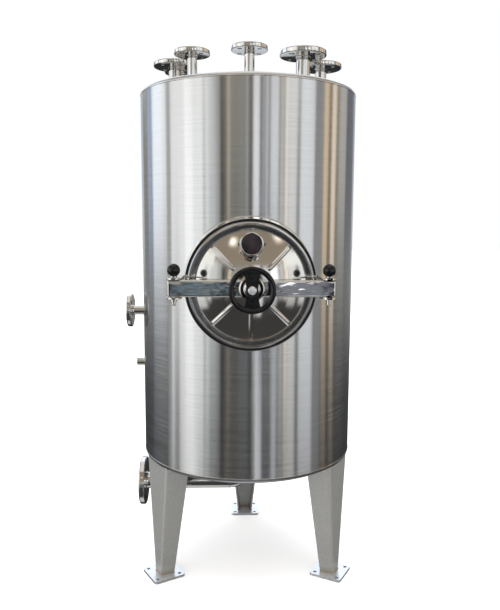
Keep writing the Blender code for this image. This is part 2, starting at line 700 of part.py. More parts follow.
def leg(name, turn, steel):
    """A tapered channel that stands on its plate and reaches up to the bottom head."""
    builder = bmesh.new()
    sections = []
    for z in (PLATE_THICKNESS + GAP, LEG_TOP):
        sections.append([builder.verts.new((x, y, z)) for x, y in leg_section(z)])
    bridge(builder, *sections)
    for section in sections:
        builder.faces.new(section)
    made = object_from(name + "_leg", builder, steel)
    made.rotation_euler = (0, 0, turn)

    under = BOTTOM_END.side(-2 * GAP, DN50[4] + GAP)
    outline = [(0, LEG_TRIM_TOP), (TANK_RADIUS + GAP, LEG_TRIM_TOP)] + under + [(0, under[-1][1])]
    combine(made, turned(name + "_leg_trim", outline, None, BIG_STEPS))


def base_plate(name, turn, steel):
    """A square plate with round corners and a bolt hole at each corner."""
    half = PLATE_SIDE / 2
    outline = []
    for quarter, (side_x, side_y) in enumerate(((1, 1), (-1, 1), (-1, -1), (1, -1))):
        centre = (side_x * (half - PLATE_CORNER), side_y * (half - PLATE_CORNER))
        outline += arc(centre, PLATE_CORNER, 90 * quarter, 90 * quarter + 90, PLATE_CORNER_STEPS)
    plate = prism(name + "_base_plate", outline, 0, PLATE_THICKNESS, steel)
    spin = Matrix.Rotation(turn, 3, "Z")
    plate.location = spin @ Vector((PLATE_CENTRE, 0, 0))
    plate.rotation_euler = (0, 0, turn)

    inset = half - PLATE_HOLE_INSET
    for side_x in (-1, 1):
        for side_y in (-1, 1):
            foot = spin @ Vector((PLATE_CENTRE + side_x * inset, side_y * inset, -OVERSHOOT))
            drill(plate, foot, UP, PLATE_HOLE, PLATE_THICKNESS + 2 * OVERSHOOT, PLATE_HOLE_STEPS)


def build():
    clear_scene()
    marker("tank_axis", (AXIS_X, AXIS_Y, 0.0))
    brushed = finish("brushed_stainless", (0.62, 0.62, 0.62), 1.0, 0.30)
    polished = finish("polished_stainless", (0.68, 0.68, 0.68), 1.0, 0.10)
    matte = finish("matte_stainless", (0.42, 0.42, 0.43), 1.0, 0.45)
    rubber = finish("gasket_rubber", (0.80, 0.80, 0.78), 0.0, 0.60)
    plastic = finish("black_plastic", (0.012, 0.012, 0.012), 0.0, 0.25)
    glass = finish("sight_glass", (0.10, 0.08, 0.09), 0.0, 0.05)

    vessel(brushed)
    manway_neck(polished)
    manway_cover(polished, rubber)
    cover_boss(polished)
    sight_glass(polished, glass)
    yoke(polished)
    bracket("hinge_bracket", -1, polished)
    bracket("latch_bracket", 1, polished)
    pin("hinge_pin", -1, polished, plastic)
    pin("latch_pin", 1, polished, plastic)
    handwheel(polished, plastic)
    top_nozzles(polished)
    side_fittings(polished)
    drain(polished)
    for name, angle in LEG_ANGLES:
        leg(name, math.radians(angle), matte)
        base_plate(name, math.radians(angle), polished)


build()
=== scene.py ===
# %% [markdown]
# Upright stainless steel tank
#
# This lesson dresses a storage tank of about 500 litres. The plain solids of the tank come from a
# fixed frame: they say where every piece sits and how big it is. Here each of them gets the finish
# and the fine shape of the real thing: rounded edges, weld beads, pressed ribs, brushed sheet.
#
# Every cell is short and prints what it made, so the lesson can be read from top to bottom.

# %% Load the frame
import math

import bmesh
import bpy
from mathutils import Matrix, Vector


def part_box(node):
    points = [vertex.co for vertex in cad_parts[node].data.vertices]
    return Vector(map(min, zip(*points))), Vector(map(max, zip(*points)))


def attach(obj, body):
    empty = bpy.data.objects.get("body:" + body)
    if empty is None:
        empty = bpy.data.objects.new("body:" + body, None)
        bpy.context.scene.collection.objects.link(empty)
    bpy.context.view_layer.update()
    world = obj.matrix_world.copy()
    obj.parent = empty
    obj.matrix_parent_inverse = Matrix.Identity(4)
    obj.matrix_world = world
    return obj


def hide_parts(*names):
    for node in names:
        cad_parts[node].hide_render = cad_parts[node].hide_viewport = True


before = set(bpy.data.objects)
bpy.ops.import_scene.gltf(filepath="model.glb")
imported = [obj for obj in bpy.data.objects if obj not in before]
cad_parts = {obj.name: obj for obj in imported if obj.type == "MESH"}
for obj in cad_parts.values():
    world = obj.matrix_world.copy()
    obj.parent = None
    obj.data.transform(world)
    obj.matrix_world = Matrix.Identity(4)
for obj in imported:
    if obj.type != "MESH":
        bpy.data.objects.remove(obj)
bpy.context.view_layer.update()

# %% [markdown]
# The tank's axis
#
# The shell is round and stands upright, so the middle of its box is the tank's axis. Nearly every
# other place is worked out from that axis, or from the box of the solid that a piece stands for.

# %% Find the axis, the radius and the manway
UP = Vector((0, 0, 1))
FRONT = Vector((0, -1, 0))
LEFT = Vector((-1, 0, 0))
MM = 0.001


def middle(node):
    low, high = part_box(node)
    return (low + high) / 2


def size(node):
    low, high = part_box(node)
    return high - low


shell_low, shell_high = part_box("shell")
AXIS = Vector((middle("shell").x, middle("shell").y, 0))
TANK_RADIUS = size("shell").x / 2
WALL = 4 * MM
MANWAY = Vector((AXIS.x, AXIS.y, middle("manway_collar").z))
print("tank radius", round(TANK_RADIUS, 4), "axis", tuple(round(v, 4) for v in AXIS))

# %% [markdown]
# The camera
#
# A tank like this is photographed from about breast height, a little to the left of its middle,
# looking slightly down. The lens just holds the whole tank. A guess by eye would be several pixels
# off, so the place and the turn were found by matching the edges of the solids to the photograph.

# %% Camera
CAMERA_PLACE = Vector((-0.0232, -2.1121, 1.1606))
CAMERA_TURN = 1.574           # degrees to the right of straight ahead
CAMERA_TILT = 6.977           # degrees below the horizon
CAMERA_ROLL = 0.267
FOCAL_PIXELS = 641.77
PHOTO_HEIGHT = 610
SENSOR = 36.0

lens = bpy.data.cameras.new("camera")
lens.sensor_width = SENSOR
lens.sensor_fit = "AUTO"
lens.lens = SENSOR * FOCAL_PIXELS / PHOTO_HEIGHT
camera = bpy.data.objects.new("camera", lens)
bpy.context.scene.collection.objects.link(camera)
camera.matrix_world = (Matrix.Translation(CAMERA_PLACE)
                       @ Matrix.Rotation(-math.radians(CAMERA_TURN), 4, "Z")
                       @ Matrix.Rotation(math.radians(90 - CAMERA_TILT), 4, "X")
                       @ Matrix.Rotation(math.radians(CAMERA_ROLL), 4, "Z"))
bpy.context.scene.camera = camera
bpy.context.scene.view_settings.view_transform = "Standard"
print("lens", round(lens.lens, 2), "mm")

# %% [markdown]
# Colours and nodes
#
# Paint charts and screens give colours as sRGB hex values, while the renderer counts in linear
# light. One function turns the first into the second. A second function adds a shader node,
# gives it its settings and joins its sockets, so that a material reads as a short list.


# %% Helpers for colours and nodes
def linear(hex_colour):
    channels = [int(hex_colour[i:i + 2], 16) / 255 for i in (1, 3, 5)]
    straight = [c / 12.92 if c <= 0.04045 else ((c + 0.055) / 1.055) ** 2.4 for c in channels]
    return (*straight, 1.0)


def add_node(tree, kind, settings=None, links=None):
    """Add a node. Keys are sockets by name or number, or else properties of the node."""
    node = tree.nodes.new(kind)
    for key, value in (settings or {}).items():
        if isinstance(key, int) or key in node.inputs:
            node.inputs[key].default_value = value
        else:
            setattr(node, key, value)
    for key, source in (links or {}).items():
        tree.links.new(source, node.inputs[key])
    return node


print("white paint is", linear("#F4F4F2"))

# %% [markdown]
# The studio
#
# Polished steel has no colour of its own to speak of: it shows the room. So the room comes first.
# Its height is painted in bands: a pale floor right under the tank, a dark ground further out,
# the walls, a warm brown ceiling and a bright roof. Tall panels stand round the tank in front of
# the walls: windows, doors, posts and lamps. Each leaves an upright streak on the shell, and the
# dark gaps between them draw the roundness. They are painted on the world one after the other,
# like cards that hang in front of each other. Real cards would stand in the way of the other
# views. The ground mirrors them only in part, so below the horizon they are duller. Only the
# camera sees plain white behind the tank.

# %% World with panels
# elevation in degrees, brightness, colour
BANDS = (
    (-90, 0.95, "#EEF0F2"), (-74, 0.75, "#E6E8EA"), (-65, 0.16, "#B9B4B0"),
    (-18, 0.14, "#B4B2B4"), (-10, 0.44, "#CCCCC8"), (12, 0.50, "#CCCAC4"),
    (19, 0.62, "#C8B9A6"), (56, 0.58, "#C6B6A2"), (62, 1.00, "#F4F2EE"),
)
# name, from and to in degrees round from the camera (right is positive), lowest and highest
# elevation in degrees, brightness, colour
PANELS = (
    ("rear_window_left", -180, -150, -4, 60, 0.72, "#E4ECF6"),
    ("rear_window_right", 150, 180, -4, 60, 0.60, "#E4ECF6"),
    ("rear_high_left", -180, -140, 14, 60, 1.60, "#EAF0FA"),
    ("rear_high_right", 140, 180, 14, 60, 1.60, "#EAF0FA"),
    ("left_far_window", -134, -121, -2, 30, 0.80, "#CBDAF2"),
    ("left_window", -121, -101, -4, 30, 1.60, "#F0F4FA"),
    ("left_curtain", -101, -95, -4, 26, 1.45, "#F2F2F0"),
    ("left_post", -95.5, -89.5, -28, 30, 0.64, "#E0E2E2"),
    ("main_window", -89, -59, -34, 27, 1.36, "#F6F6F6"),
    ("main_window_pane", -70, -59.5, -40, 25, 1.66, "#F8F8F6"),
    ("main_window_bar", -86, -78.6, -44, -9, 0.12, "#D0D4D8"),
    ("main_window_edge", -59, -48, -26, 26, 1.44, "#F2F2F3"),
    ("window_joint", -47.8, -46, -26, 30, 0.84, "#E4E6E6"),
    ("left_wall_light", -45.7, -41.5, -20, 26, 1.28, "#F0F2F2"),
    ("left_wall", -41.5, -34, -15, 20, 1.02, "#E8EBEC"),
    ("left_wall_end", -34, -30, -15, 18, 0.74, "#E6E9EA"),
    ("left_gap", -29.4, -25.8, -24, 14, 0.08, "#C9CED2"),
    ("door", -25.8, -22.6, -20, 14, 0.32, "#D6D0C4"),
    ("door_frame", -22.6, -19.2, -12, 14, 1.05, "#F4E6D2"),
    ("middle_wall_dark", -19.2, -13, -2, 15, 0.62, "#D2D2CA"),
    ("middle_wall", -13, -3.2, -2, 15, 0.64, "#D2D2CA"),
    ("thin_light", -3.0, -1.2, -2, 15, 1.25, "#DCE0E8"),
    ("strip_gap", 1.0, 3.2, -34, 15, 0.06, "#C0C4CC"),
    ("strip_light", 3.9, 10.3, -12, 15, 2.10, "#F0F2F6"),
    ("strip_light_low", 7.0, 14.0, -36, -13, 1.60, "#F0F2F6"),
    ("dark_slot", 10.6, 13.0, -12, 15, 0.18, "#BCC2CC"),
    ("slot_wall", 13.0, 16.8, -2, 15, 1.10, "#D2D6DE"),
    ("right_slit", 17.0, 19.2, -2, 15, 1.80, "#E6EAF4"),
    ("right_frame", 19.4, 21.2, -6, 15, 0.70, "#D6DAE0"),
    ("right_window", 21.4, 30.0, -10, 16, 1.70, "#F0F3F6"),
    ("right_window_low", 24.6, 29.6, -30, -8, 1.16, "#E8EEF4"),
    ("right_joint", 30.4, 32.4, -20, 18, 0.52, "#E4E6E8"),
    ("right_door", 32.4, 35.0, -18, 20, 1.05, "#ECEAE6"),
    ("right_door_gap", 35.0, 36.4, -18, 22, 0.70, "#E0DAD2"),
    ("right_wall_warm", 37.0, 40.6, -18, 25, 1.38, "#F8F0E6"),
    ("right_wall", 41.2, 50.2, -24, 27, 1.10, "#F2F1EF"),
    ("right_wall_gap", 51.2, 53.6, -14, 27, 0.34, "#D4D8DC"),
    ("right_wall_bright", 54.2, 71.6, -22, 28, 1.18, "#F0F2F6"),
    ("post", 73.6, 83.0, -24, 28, 0.50, "#DCDCDE"),
    ("wooden_door", 84.0, 91.0, -8, 26, 1.14, "#F2DABA"),
    ("door_gap", 91.0, 95.6, -8, 26, 0.30, "#E2CDB2"),
    ("door_light", 96.2, 103.4, -8, 26, 1.30, "#F4E2CC"),
    ("right_far_wall", 103.4, 109.5, -4, 30, 0.42, "#EADCC8"),
    ("right_window_far", 109.5, 125, -1, 34, 0.70, "#F0ECE4"),
    ("right_far_end", 125, 150, -1, 34, 0.26, "#DCE0EA"),
    ("high_window_left", -66, -39, 14, 28, 1.30, "#F6F8F6"),
    ("high_window_right", 39, 66, 14, 28, 1.30, "#F6F8F6"),
)
# A dark screen hangs round the camera with two grey cards on it. What faces the camera squarely
# mirrors it: the screen draws the dark rings of the manway, the cards the front of the yoke bar.
SCREEN = (
    ("screen", -30, 30, -11, -1, 0.04, "#B0B2B8"),
    ("left_card", -10.5, -2.5, -10, -3, 0.50, "#A6BCCA"),
    ("right_card", 4.5, 13.5, -10, -2, 0.56, "#B4B9C6"),
)
SCREEN_EDGE = 4              # softness of all its edges in degrees
# soft round lamps under the ceiling: name, azimuth, elevation, width, brightness
LAMPS = (("lamp_1", -21, 41, 7, 2.6), ("lamp_2", -53, 30, 8, 1.9), ("lamp_3", 39, 44, 9, 1.8),
         ("lamp_4", -9, 32, 4, 1.0))
FAR_GROUND = (0.07, "#A0A8B8")          # the ground to both sides and behind
FAR_SIDES = ((-180, -92), (92, 180))
FAR_ENDS = (-44, -10)         # its lowest and highest elevation
FAR_EDGE = 3
GLOSS_LOSS = 0.42             # what the walls lose where the ground mirrors them
GLOSS_TONE = (0.10, "#B4B0AE")
GLOSS_ENDS, GLOSS_EDGE = (-64, -14), 14
LAMP_COLOUR = "#FFF4E6"
EDGE = 0.9                    # softness of a panel's edge in degrees
TALL_EDGE = 7                 # softness of its upper and lower end

world = bpy.data.worlds.new("studio")
world.use_nodes = True
sky = world.node_tree
sky.nodes.clear()
place = add_node(sky, "ShaderNodeTexCoord")
ways = add_node(sky, "ShaderNodeSeparateXYZ", links={0: place.outputs["Generated"]})
forward = add_node(sky, "ShaderNodeMath", {"operation": "MULTIPLY", 1: -1.0},
                   {0: ways.outputs["Y"]})
around = add_node(sky, "ShaderNodeMath", {"operation": "ARCTAN2"},
                  {0: ways.outputs["X"], 1: forward.outputs[0]}).outputs[0]
above = add_node(sky, "ShaderNodeMath", {"operation": "ARCSINE"}, {0: ways.outputs["Z"]}).outputs[0]


def within(tree, angle, low, high, soft):
    """1 between two angles in degrees, falling to 0 across a soft edge."""
    centre = math.radians((low + high) / 2)
    half = math.radians((high - low) / 2)
    edge = math.radians(soft) / 2
    off = add_node(tree, "ShaderNodeMath", {"operation": "SUBTRACT", 1: centre}, {0: angle})
    away = add_node(tree, "ShaderNodeMath", {"operation": "ABSOLUTE"}, {0: off.outputs[0]})
    fall = add_node(tree, "ShaderNodeMapRange",
                    {"interpolation_type": "SMOOTHSTEP", "From Min": half + edge,
                     "From Max": half - edge, "To Min": 0.0, "To Max": 1.0},
                    {"Value": away.outputs[0]})
    return fall.outputs[0]


def bright(strength, hex_colour):
    return (*[strength * channel for channel in linear(hex_colour)[:3]], 1.0)


def card(tree, layers, across, upright, colour):
    """Hang a card in front of the layers that are there already."""
    both = add_node(tree, "ShaderNodeMath", {"operation": "MULTIPLY"}, {0: across, 1: upright})
    return add_node(tree, "ShaderNodeMix", {"data_type": "RGBA", 7: colour},
                    {0: both.outputs[0], 6: layers}).outputs[2]


share = add_node(sky, "ShaderNodeMapRange", {"From Min": -math.pi / 2, "From Max": math.pi / 2},
                 {"Value": above})
height = add_node(sky, "ShaderNodeValToRGB", links={"Fac": share.outputs[0]})
stops = height.color_ramp.elements
while len(stops) < len(BANDS):
    stops.new(0.5)
for stop, (elevation, strength, colour) in zip(stops, BANDS):
    stop.position = (elevation + 90) / 180
for stop, (elevation, strength, colour) in zip(stops, BANDS):
    stop.color = bright(strength, colour)
layers = height.outputs["Color"]
ground = within(sky, above, *FAR_ENDS, TALL_EDGE)
for start, end in FAR_SIDES:
    layers = card(sky, layers, within(sky, around, start, end, FAR_EDGE), ground,
                  bright(*FAR_GROUND))
for name, start, end, lowest, highest, strength, colour in PANELS:
    layers = card(sky, layers, within(sky, around, start, end, EDGE),
                  within(sky, above, lowest, highest, TALL_EDGE), bright(strength, colour))
mirrored = add_node(sky, "ShaderNodeMath", {"operation": "MULTIPLY", 1: GLOSS_LOSS},
                    {0: within(sky, above, *GLOSS_ENDS, GLOSS_EDGE)})
layers = add_node(sky, "ShaderNodeMix", {"data_type": "RGBA", 7: bright(*GLOSS_TONE)},
                  {0: mirrored.outputs[0], 6: layers}).outputs[2]
for name, start, end, lowest, highest, strength, colour in SCREEN:
    layers = card(sky, layers, within(sky, around, start, end, SCREEN_EDGE),
                  within(sky, above, lowest, highest, SCREEN_EDGE), bright(strength, colour))
for name, azimuth, elevation, width, strength in LAMPS:
    half = width / 2
    layers = card(sky, layers, within(sky, around, azimuth - half, azimuth + half, width),
                  within(sky, above, elevation - half, elevation + half, width),
                  bright(strength, LAMP_COLOUR))
room = add_node(sky, "ShaderNodeBackground", links={"Color": layers})
white = add_node(sky, "ShaderNodeBackground", {"Color": (1, 1, 1, 1)})
ray = add_node(sky, "ShaderNodeLightPath")
seen = add_node(sky, "ShaderNodeMixShader",
                links={0: ray.outputs["Is Camera Ray"], 1: room.outputs[0], 2: white.outputs[0]})
add_node(sky, "ShaderNodeOutputWorld", links={"Surface": seen.outputs[0]})
bpy.context.scene.world = world
print("studio:", len(BANDS), "bands and", len(PANELS), "panels")

# %% [markdown]
# Soft light from above
#
# The room lights the steel. The floor and the black plastic need plain light too, so one wide
# soft sun shines down from the front. An area lamp would do too, but a sun lights the foot of the
# tank as evenly as its top. It is kept out of the reflections.

# %% Soft light
SUN_STRENGTH = 2.6
SUN_WIDTH = 120               # degrees
SUN_LEAN = (18, -14, 0)
lamp = bpy.data.lights.new("soft_light", "SUN")
lamp.energy = SUN_STRENGTH
lamp.angle = math.radians(SUN_WIDTH)
soft_light = bpy.data.objects.new("soft_light", lamp)
bpy.context.scene.collection.objects.link(soft_light)
soft_light.rotation_euler = [math.radians(lean) for lean in SUN_LEAN]
soft_light.visible_glossy = False
print("one soft light")

# %% [markdown]
# Brushed stainless steel
#
# The shell is 304 stainless sheet, ground with a belt that runs round the tank. The scratches lie
# level, so light spreads up and down but hardly sideways, and each panel becomes a long upright
# streak with a crisp edge. A Principled shader does that with full anisotropy along a tangent that
# runs round the Z axis, turned by a quarter. Real scratches are about 0.1 mm apart. Here they are
# 3 mm apart, as coarse as they must be to show at all. The dished ends are spun, so their scratches
# are rings round the tank's axis. They are duller, and blur the room into a soft pale rim.


# %% Brushed stainless steel
def start_material(name, **sockets):
    made = bpy.data.materials.new(name)
    made.use_nodes = True
    shader = made.node_tree.nodes["Principled BSDF"]
    for socket, value in sockets.items():
        shader.inputs[socket.replace("_", " ")].default_value = value
    return made, made.node_tree, shader


def noise(tree, scale, detail, stretch=(1, 1, 1), roughness=0.55):
    """Noise of a size in object space. Stretch gives the size along each axis."""
    spot = add_node(tree, "ShaderNodeTexCoord")
    sized = add_node(tree, "ShaderNodeMapping", {"Scale": [1 / (scale * s) for s in stretch]},
                     {"Vector": spot.outputs["Object"]})
    made = add_node(tree, "ShaderNodeTexNoise",
                    {"Scale": 1.0, "Detail": detail, "Roughness": roughness},
                    {"Vector": sized.outputs[0]})
    return made.outputs["Fac"]


def relief(tree, shader, heights, strength, distance):
    bump = add_node(tree, "ShaderNodeBump", {"Strength": strength, "Distance": distance},
                    {"Height": heights})
    tree.links.new(bump.outputs[0], shader.inputs["Normal"])
    return bump


def between(tree, shader, socket, factor, low, high):
    """Lead a noise factor to a socket as a value between low and high."""
    span = add_node(tree, "ShaderNodeMapRange",
                    {"From Min": 0.3, "From Max": 0.7, "To Min": low, "To Max": high},
                    {"Value": factor})
    tree.links.new(span.outputs[0], shader.inputs[socket])


def tint(tree, shader, factor, low_colour, high_colour):
    """Vary the base colour between two colours by a factor."""
    span = add_node(tree, "ShaderNodeMapRange", {"From Min": 0.35, "From Max": 0.65},
                    {"Value": factor})
    mixed = add_node(tree, "ShaderNodeMix",
                     {"data_type": "RGBA", 6: linear(low_colour), 7: linear(high_colour)},
                     {0: span.outputs[0]})
    tree.links.new(mixed.outputs[2], shader.inputs["Base Color"])
    return mixed


BRUSH_SPACING = 3 * MM
brushed, tree, shader = start_material(
    "brushed_stainless", Metallic=1.0, Roughness=0.20, Anisotropic=1.0, Anisotropic_Rotation=0.25)
around_z = add_node(tree, "ShaderNodeTangent", {"direction_type": "RADIAL", "axis": "Z"})
tree.links.new(around_z.outputs[0], shader.inputs["Tangent"])
scratches = noise(tree, BRUSH_SPACING, 4.0, (60, 60, 1), 0.65)
between(tree, shader, "Roughness", scratches, 0.18, 0.23)
tint(tree, shader, scratches, "#CFD0D0", "#DADBDB")
relief(tree, shader, scratches, 0.10, 0.3 * MM)

spun, tree, shader = start_material(
    "spun_stainless", Base_Color=linear("#DDDFE0"), Metallic=1.0, Roughness=0.34,
    Anisotropic=0.3, Anisotropic_Rotation=0.25)
around_z = add_node(tree, "ShaderNodeTangent", {"direction_type": "RADIAL", "axis": "Z"})
tree.links.new(around_z.outputs[0], shader.inputs["Tangent"])
spot = add_node(tree, "ShaderNodeTexCoord")
from_axis = add_node(tree, "ShaderNodeVectorMath", {"operation": "SUBTRACT", 1: AXIS},
                     {0: spot.outputs["Object"]})
level = add_node(tree, "ShaderNodeVectorMath", {"operation": "MULTIPLY", 1: (1, 1, 0)},
                 {0: from_axis.outputs[0]})
reach = add_node(tree, "ShaderNodeVectorMath", {"operation": "LENGTH"}, {0: level.outputs[0]})
turning = add_node(tree, "ShaderNodeTexNoise",
                   {"noise_dimensions": "1D", "Scale": 1 / BRUSH_SPACING, "Detail": 4.0},
                   {"W": reach.outputs["Value"]}).outputs["Fac"]
between(tree, shader, "Roughness", turning, 0.30, 0.38)
relief(tree, shader, turning, 0.08, 0.3 * MM)
print("brushed and spun steel ready")

# %% [markdown]
# Polished stainless steel
#
# The manway, the yoke bar, the pipes and the flanges are polished bright. Such a surface is a
# mirror with a little waviness from the polishing wheel, which bends the reflections. The bar is
# folded sheet and was polished by hand along its length, so its waves are longer and deeper. The
# pressed cover kept a little of the grain of its sheet, so its mirror is softer.

# %% Polished stainless steel
WAVE = 45 * MM
polished, tree, shader = start_material(
    "polished_stainless", Base_Color=linear("#DAD8D4"), Metallic=1.0, Roughness=0.05)
relief(tree, shader, noise(tree, WAVE, 1.0), 0.25, 1.0 * MM)
between(tree, shader, "Roughness", noise(tree, 6 * MM, 3.0), 0.04, 0.07)

pressed, tree, shader = start_material(
    "pressed_polished_stainless", Base_Color=linear("#DAD8D4"), Metallic=1.0, Roughness=0.10)
relief(tree, shader, noise(tree, WAVE, 1.0), 0.25, 1.0 * MM)
between(tree, shader, "Roughness", noise(tree, 6 * MM, 3.0), 0.09, 0.12)

polished_bar, tree, shader = start_material(
    "hand_polished_stainless", Base_Color=linear("#DAD9D6"), Metallic=1.0, Roughness=0.08)
relief(tree, shader, noise(tree, 24 * MM, 1.5, (2.0, 1, 0.8)), 0.45, 3.0 * MM)
between(tree, shader, "Roughness", noise(tree, 5 * MM, 2.0, (5, 1, 1)), 0.06, 0.12)
print("polished steel ready")

# %% [markdown]
# Pickled and rolled stainless steel
#
# The legs are pickled after welding: acid takes the scale off and leaves a matte grey skin with a
# fine speckle. It scatters a part of the light like a dull surface, so it isn't fully metallic.
# The heat of the foot weld leaves a brown band that fades upwards, so the height above the floor
# mixes it in. The base plates are plain rolled plate, smoother and brighter.

# %% Pickled and rolled stainless steel
HEAT_TOP, HEAT_FOOT = 32 * MM, 8 * MM   # heights where the brown band ends and starts
pickled, tree, shader = start_material("pickled_stainless", Metallic=0.62, Roughness=0.42)
speckle = noise(tree, 2.5 * MM, 3.0)
skin = tint(tree, shader, speckle, "#A9AAA9", "#C6C6C3")
spot = add_node(tree, "ShaderNodeTexCoord")
rise = add_node(tree, "ShaderNodeSeparateXYZ", links={0: spot.outputs["Object"]})
heat = add_node(tree, "ShaderNodeMapRange",
                {"From Min": HEAT_TOP, "From Max": HEAT_FOOT, "To Max": 0.55},
                {"Value": rise.outputs["Z"]})
stained = add_node(tree, "ShaderNodeMix", {"data_type": "RGBA", 7: linear("#94806A")},
                   {0: heat.outputs[0], 6: skin.outputs[2]})
tree.links.new(stained.outputs[2], shader.inputs["Base Color"])
between(tree, shader, "Roughness", noise(tree, 8 * MM, 2.0), 0.34, 0.46)
relief(tree, shader, speckle, 0.15, 0.2 * MM)

plate, tree, shader = start_material("rolled_stainless", Metallic=0.85, Roughness=0.30)
mottle = noise(tree, 12 * MM, 3.0)
tint(tree, shader, mottle, "#DEE2E7", "#EAEDF0")
between(tree, shader, "Roughness", mottle, 0.27, 0.33)
relief(tree, shader, noise(tree, 1.5 * MM, 2.0), 0.08, 0.1 * MM)
print("pickled and rolled steel ready")

# %% [markdown]
# Phenolic, silicone and glass
#
# The handwheel and the ball knobs are black phenolic, pressed in a polished mould: deep black with
# a clear gloss and a trace of flow marks. The gasket is pale silicone. The sight glass is
# tempered glass, and its dark colour is painted shade: it stands for the unlit inside of the tank
# behind it.

# %% Phenolic, silicone and glass
phenolic, tree, shader = start_material("black_phenolic", Metallic=0.0, Roughness=0.20, IOR=1.46)
flow = noise(tree, 9 * MM, 3.0)
tint(tree, shader, flow, "#050506", "#0A0A0B")
between(tree, shader, "Roughness", flow, 0.16, 0.26)
relief(tree, shader, noise(tree, 1.2 * MM, 2.0), 0.03, 0.1 * MM)

silicone, tree, shader = start_material("gasket_silicone", Metallic=0.0, Roughness=0.5, IOR=1.41)
tint(tree, shader, noise(tree, 6 * MM, 2.0), "#D2D2CC", "#DEDED8")
relief(tree, shader, noise(tree, 1.0 * MM, 2.0), 0.1, 0.1 * MM)

glass, tree, shader = start_material("tempered_glass", Metallic=0.0, Roughness=0.03, IOR=1.52)
# painted shade: the dark colour stands for the unlit inside of the tank seen through the glass
tint(tree, shader, noise(tree, 40 * MM, 1.0), "#221E20", "#332D30")
relief(tree, shader, noise(tree, 30 * MM, 0.0), 0.05, 0.5 * MM)
print("phenolic, silicone and glass ready")

# %% [markdown]
# Tools for shapes
#
# Most pieces of a tank are turned, folded or welded, so a handful of helpers makes them all.
# Corners are always rounded a little: a real edge is never razor sharp, and the thin bright line
# that runs along a rounded edge is what tells the eye that something is steel.


# %% Helpers for shapes
def bands(rows, columns, closed):
    """Faces of a skin of rings: each column joins the next, and each row the row after it."""
    faces = []
    for row in range(rows if closed else rows - 1):
        here, there = row * columns, (row + 1) % rows * columns
        for column in range(columns):
            beside = (column + 1) % columns
            faces.append((here + column, here + beside, there + beside, there + column))
    return faces


def piece_from(name, points, faces):
    mesh = bpy.data.meshes.new(name)
    mesh.from_pydata([tuple(point) for point in points], [], faces)
    builder = bmesh.new()
    builder.from_mesh(mesh)
    bmesh.ops.remove_doubles(builder, verts=builder.verts, dist=0.005 * MM)
    bmesh.ops.recalc_face_normals(builder, faces=builder.faces)
    builder.to_mesh(mesh)
    builder.free()
    made = bpy.data.objects.new(name, mesh)
    bpy.context.scene.collection.objects.link(made)
    return made


def rounded(corners, closed=True):
    """Points of an outline. A corner is (a, b), or (a, b, radius) to be rounded."""
    outline = []
    count = len(corners)
    for number, corner in enumerate(corners):
        here = Vector(corner[:2])
        if len(corner) < 3 or not closed and number in (0, count - 1):
            outline.append(tuple(here))
            continue
        before = (Vector(corners[number - 1][:2]) - here).normalized()
        after = (Vector(corners[(number + 1) % count][:2]) - here).normalized()
        half = before.angle(after) / 2
        centre = here + (before + after).normalized() * corner[2] / math.sin(half)
        start = here + before * corner[2] / math.tan(half) - centre
        end = here + after * corner[2] / math.tan(half) - centre
        sweep = math.pi - 2 * half
        steps = max(2, round(math.degrees(sweep) / 15))
        for step in range(steps + 1):
            share = step / steps
            turn = start * math.sin((1 - share) * sweep) + end * math.sin(share * sweep)
            outline.append(tuple(centre + turn / math.sin(sweep)))
    return outline


def facing(foot, direction):
    """A frame that stands on a foot point with its Z axis along a direction."""
    return Matrix.Translation(foot) @ UP.rotation_difference(direction).to_matrix().to_4x4()


def turned(name, outline, steps, foot, direction):
    """Spin an outline of (radius, distance) points. It is closed unless it starts on the axis."""
    frame_here = facing(foot, direction)
    turns = [math.tau * step / steps for step in range(steps)]
    points = [frame_here @ Vector((radius * math.cos(turn), radius * math.sin(turn), distance))
              for radius, distance in outline for turn in turns]
    return piece_from(name, points, bands(len(outline), steps, outline[0][0] > 0))


def prism(name, outline, low, high, place):
    """A flat outline of (x, y) points, drawn out from low to high along the frame's Z axis."""
    count = len(outline)
    points = [place @ Vector((x, y, z)) for z in (low, high) for x, y in outline]
    caps = [tuple(range(count)), tuple(range(count, 2 * count))]
    return piece_from(name, points, bands(2, count, False) + caps)


def bake(piece):
    """Apply the modifiers of a piece to its mesh."""
    bpy.context.view_layer.update()
    graph = bpy.context.evaluated_depsgraph_get()
    done = bpy.data.meshes.new_from_object(piece.evaluated_get(graph))
    piece.modifiers.clear()
    piece.data = done
    return piece


def cut(target, tool, operation="DIFFERENCE"):
    step = target.modifiers.new("cut", "BOOLEAN")
    step.operation = operation
    step.solver = "EXACT"
    step.object = tool
    bake(target)
    bpy.data.objects.remove(tool, do_unlink=True)
    return target


def drill(target, foot, direction, radius, depth, steps=64):
    outline = [(0, depth), (radius, depth), (radius, 0), (0, 0)]
    return cut(target, turned("drill", outline, steps, foot, direction))


def soften(piece, width, segments=3, angle=40):
    """Round the edges of a piece."""
    step = piece.modifiers.new("soften", "BEVEL")
    step.width = width
    step.segments = segments
    step.limit_method = "ANGLE"
    step.angle_limit = math.radians(angle)
    return bake(piece)


def smooth(piece, angle=32):
    piece.data.shade_smooth()
    piece.data.set_sharp_from_angle(angle=math.radians(angle))
    step = piece.modifiers.new("flat_faces_stay_flat", "WEIGHTED_NORMAL")
    step.keep_sharp = True
    return piece


def exact_normals(piece, normal_at):
    """Shade a piece by the true normals of its form, where its faces lie on that form."""
    piece.data.shade_smooth()
    normals = []
    for face in piece.data.polygons:
        for corner in face.loop_indices:
            point = piece.data.vertices[piece.data.loops[corner].vertex_index].co
            true = normal_at(point - AXIS)
            side = 1 if true.dot(face.normal) > 0 else -1
            normals.append(side * true if abs(true.dot(face.normal)) > 0.95 else face.normal)
    piece.data.normals_split_custom_set(normals)
    return piece


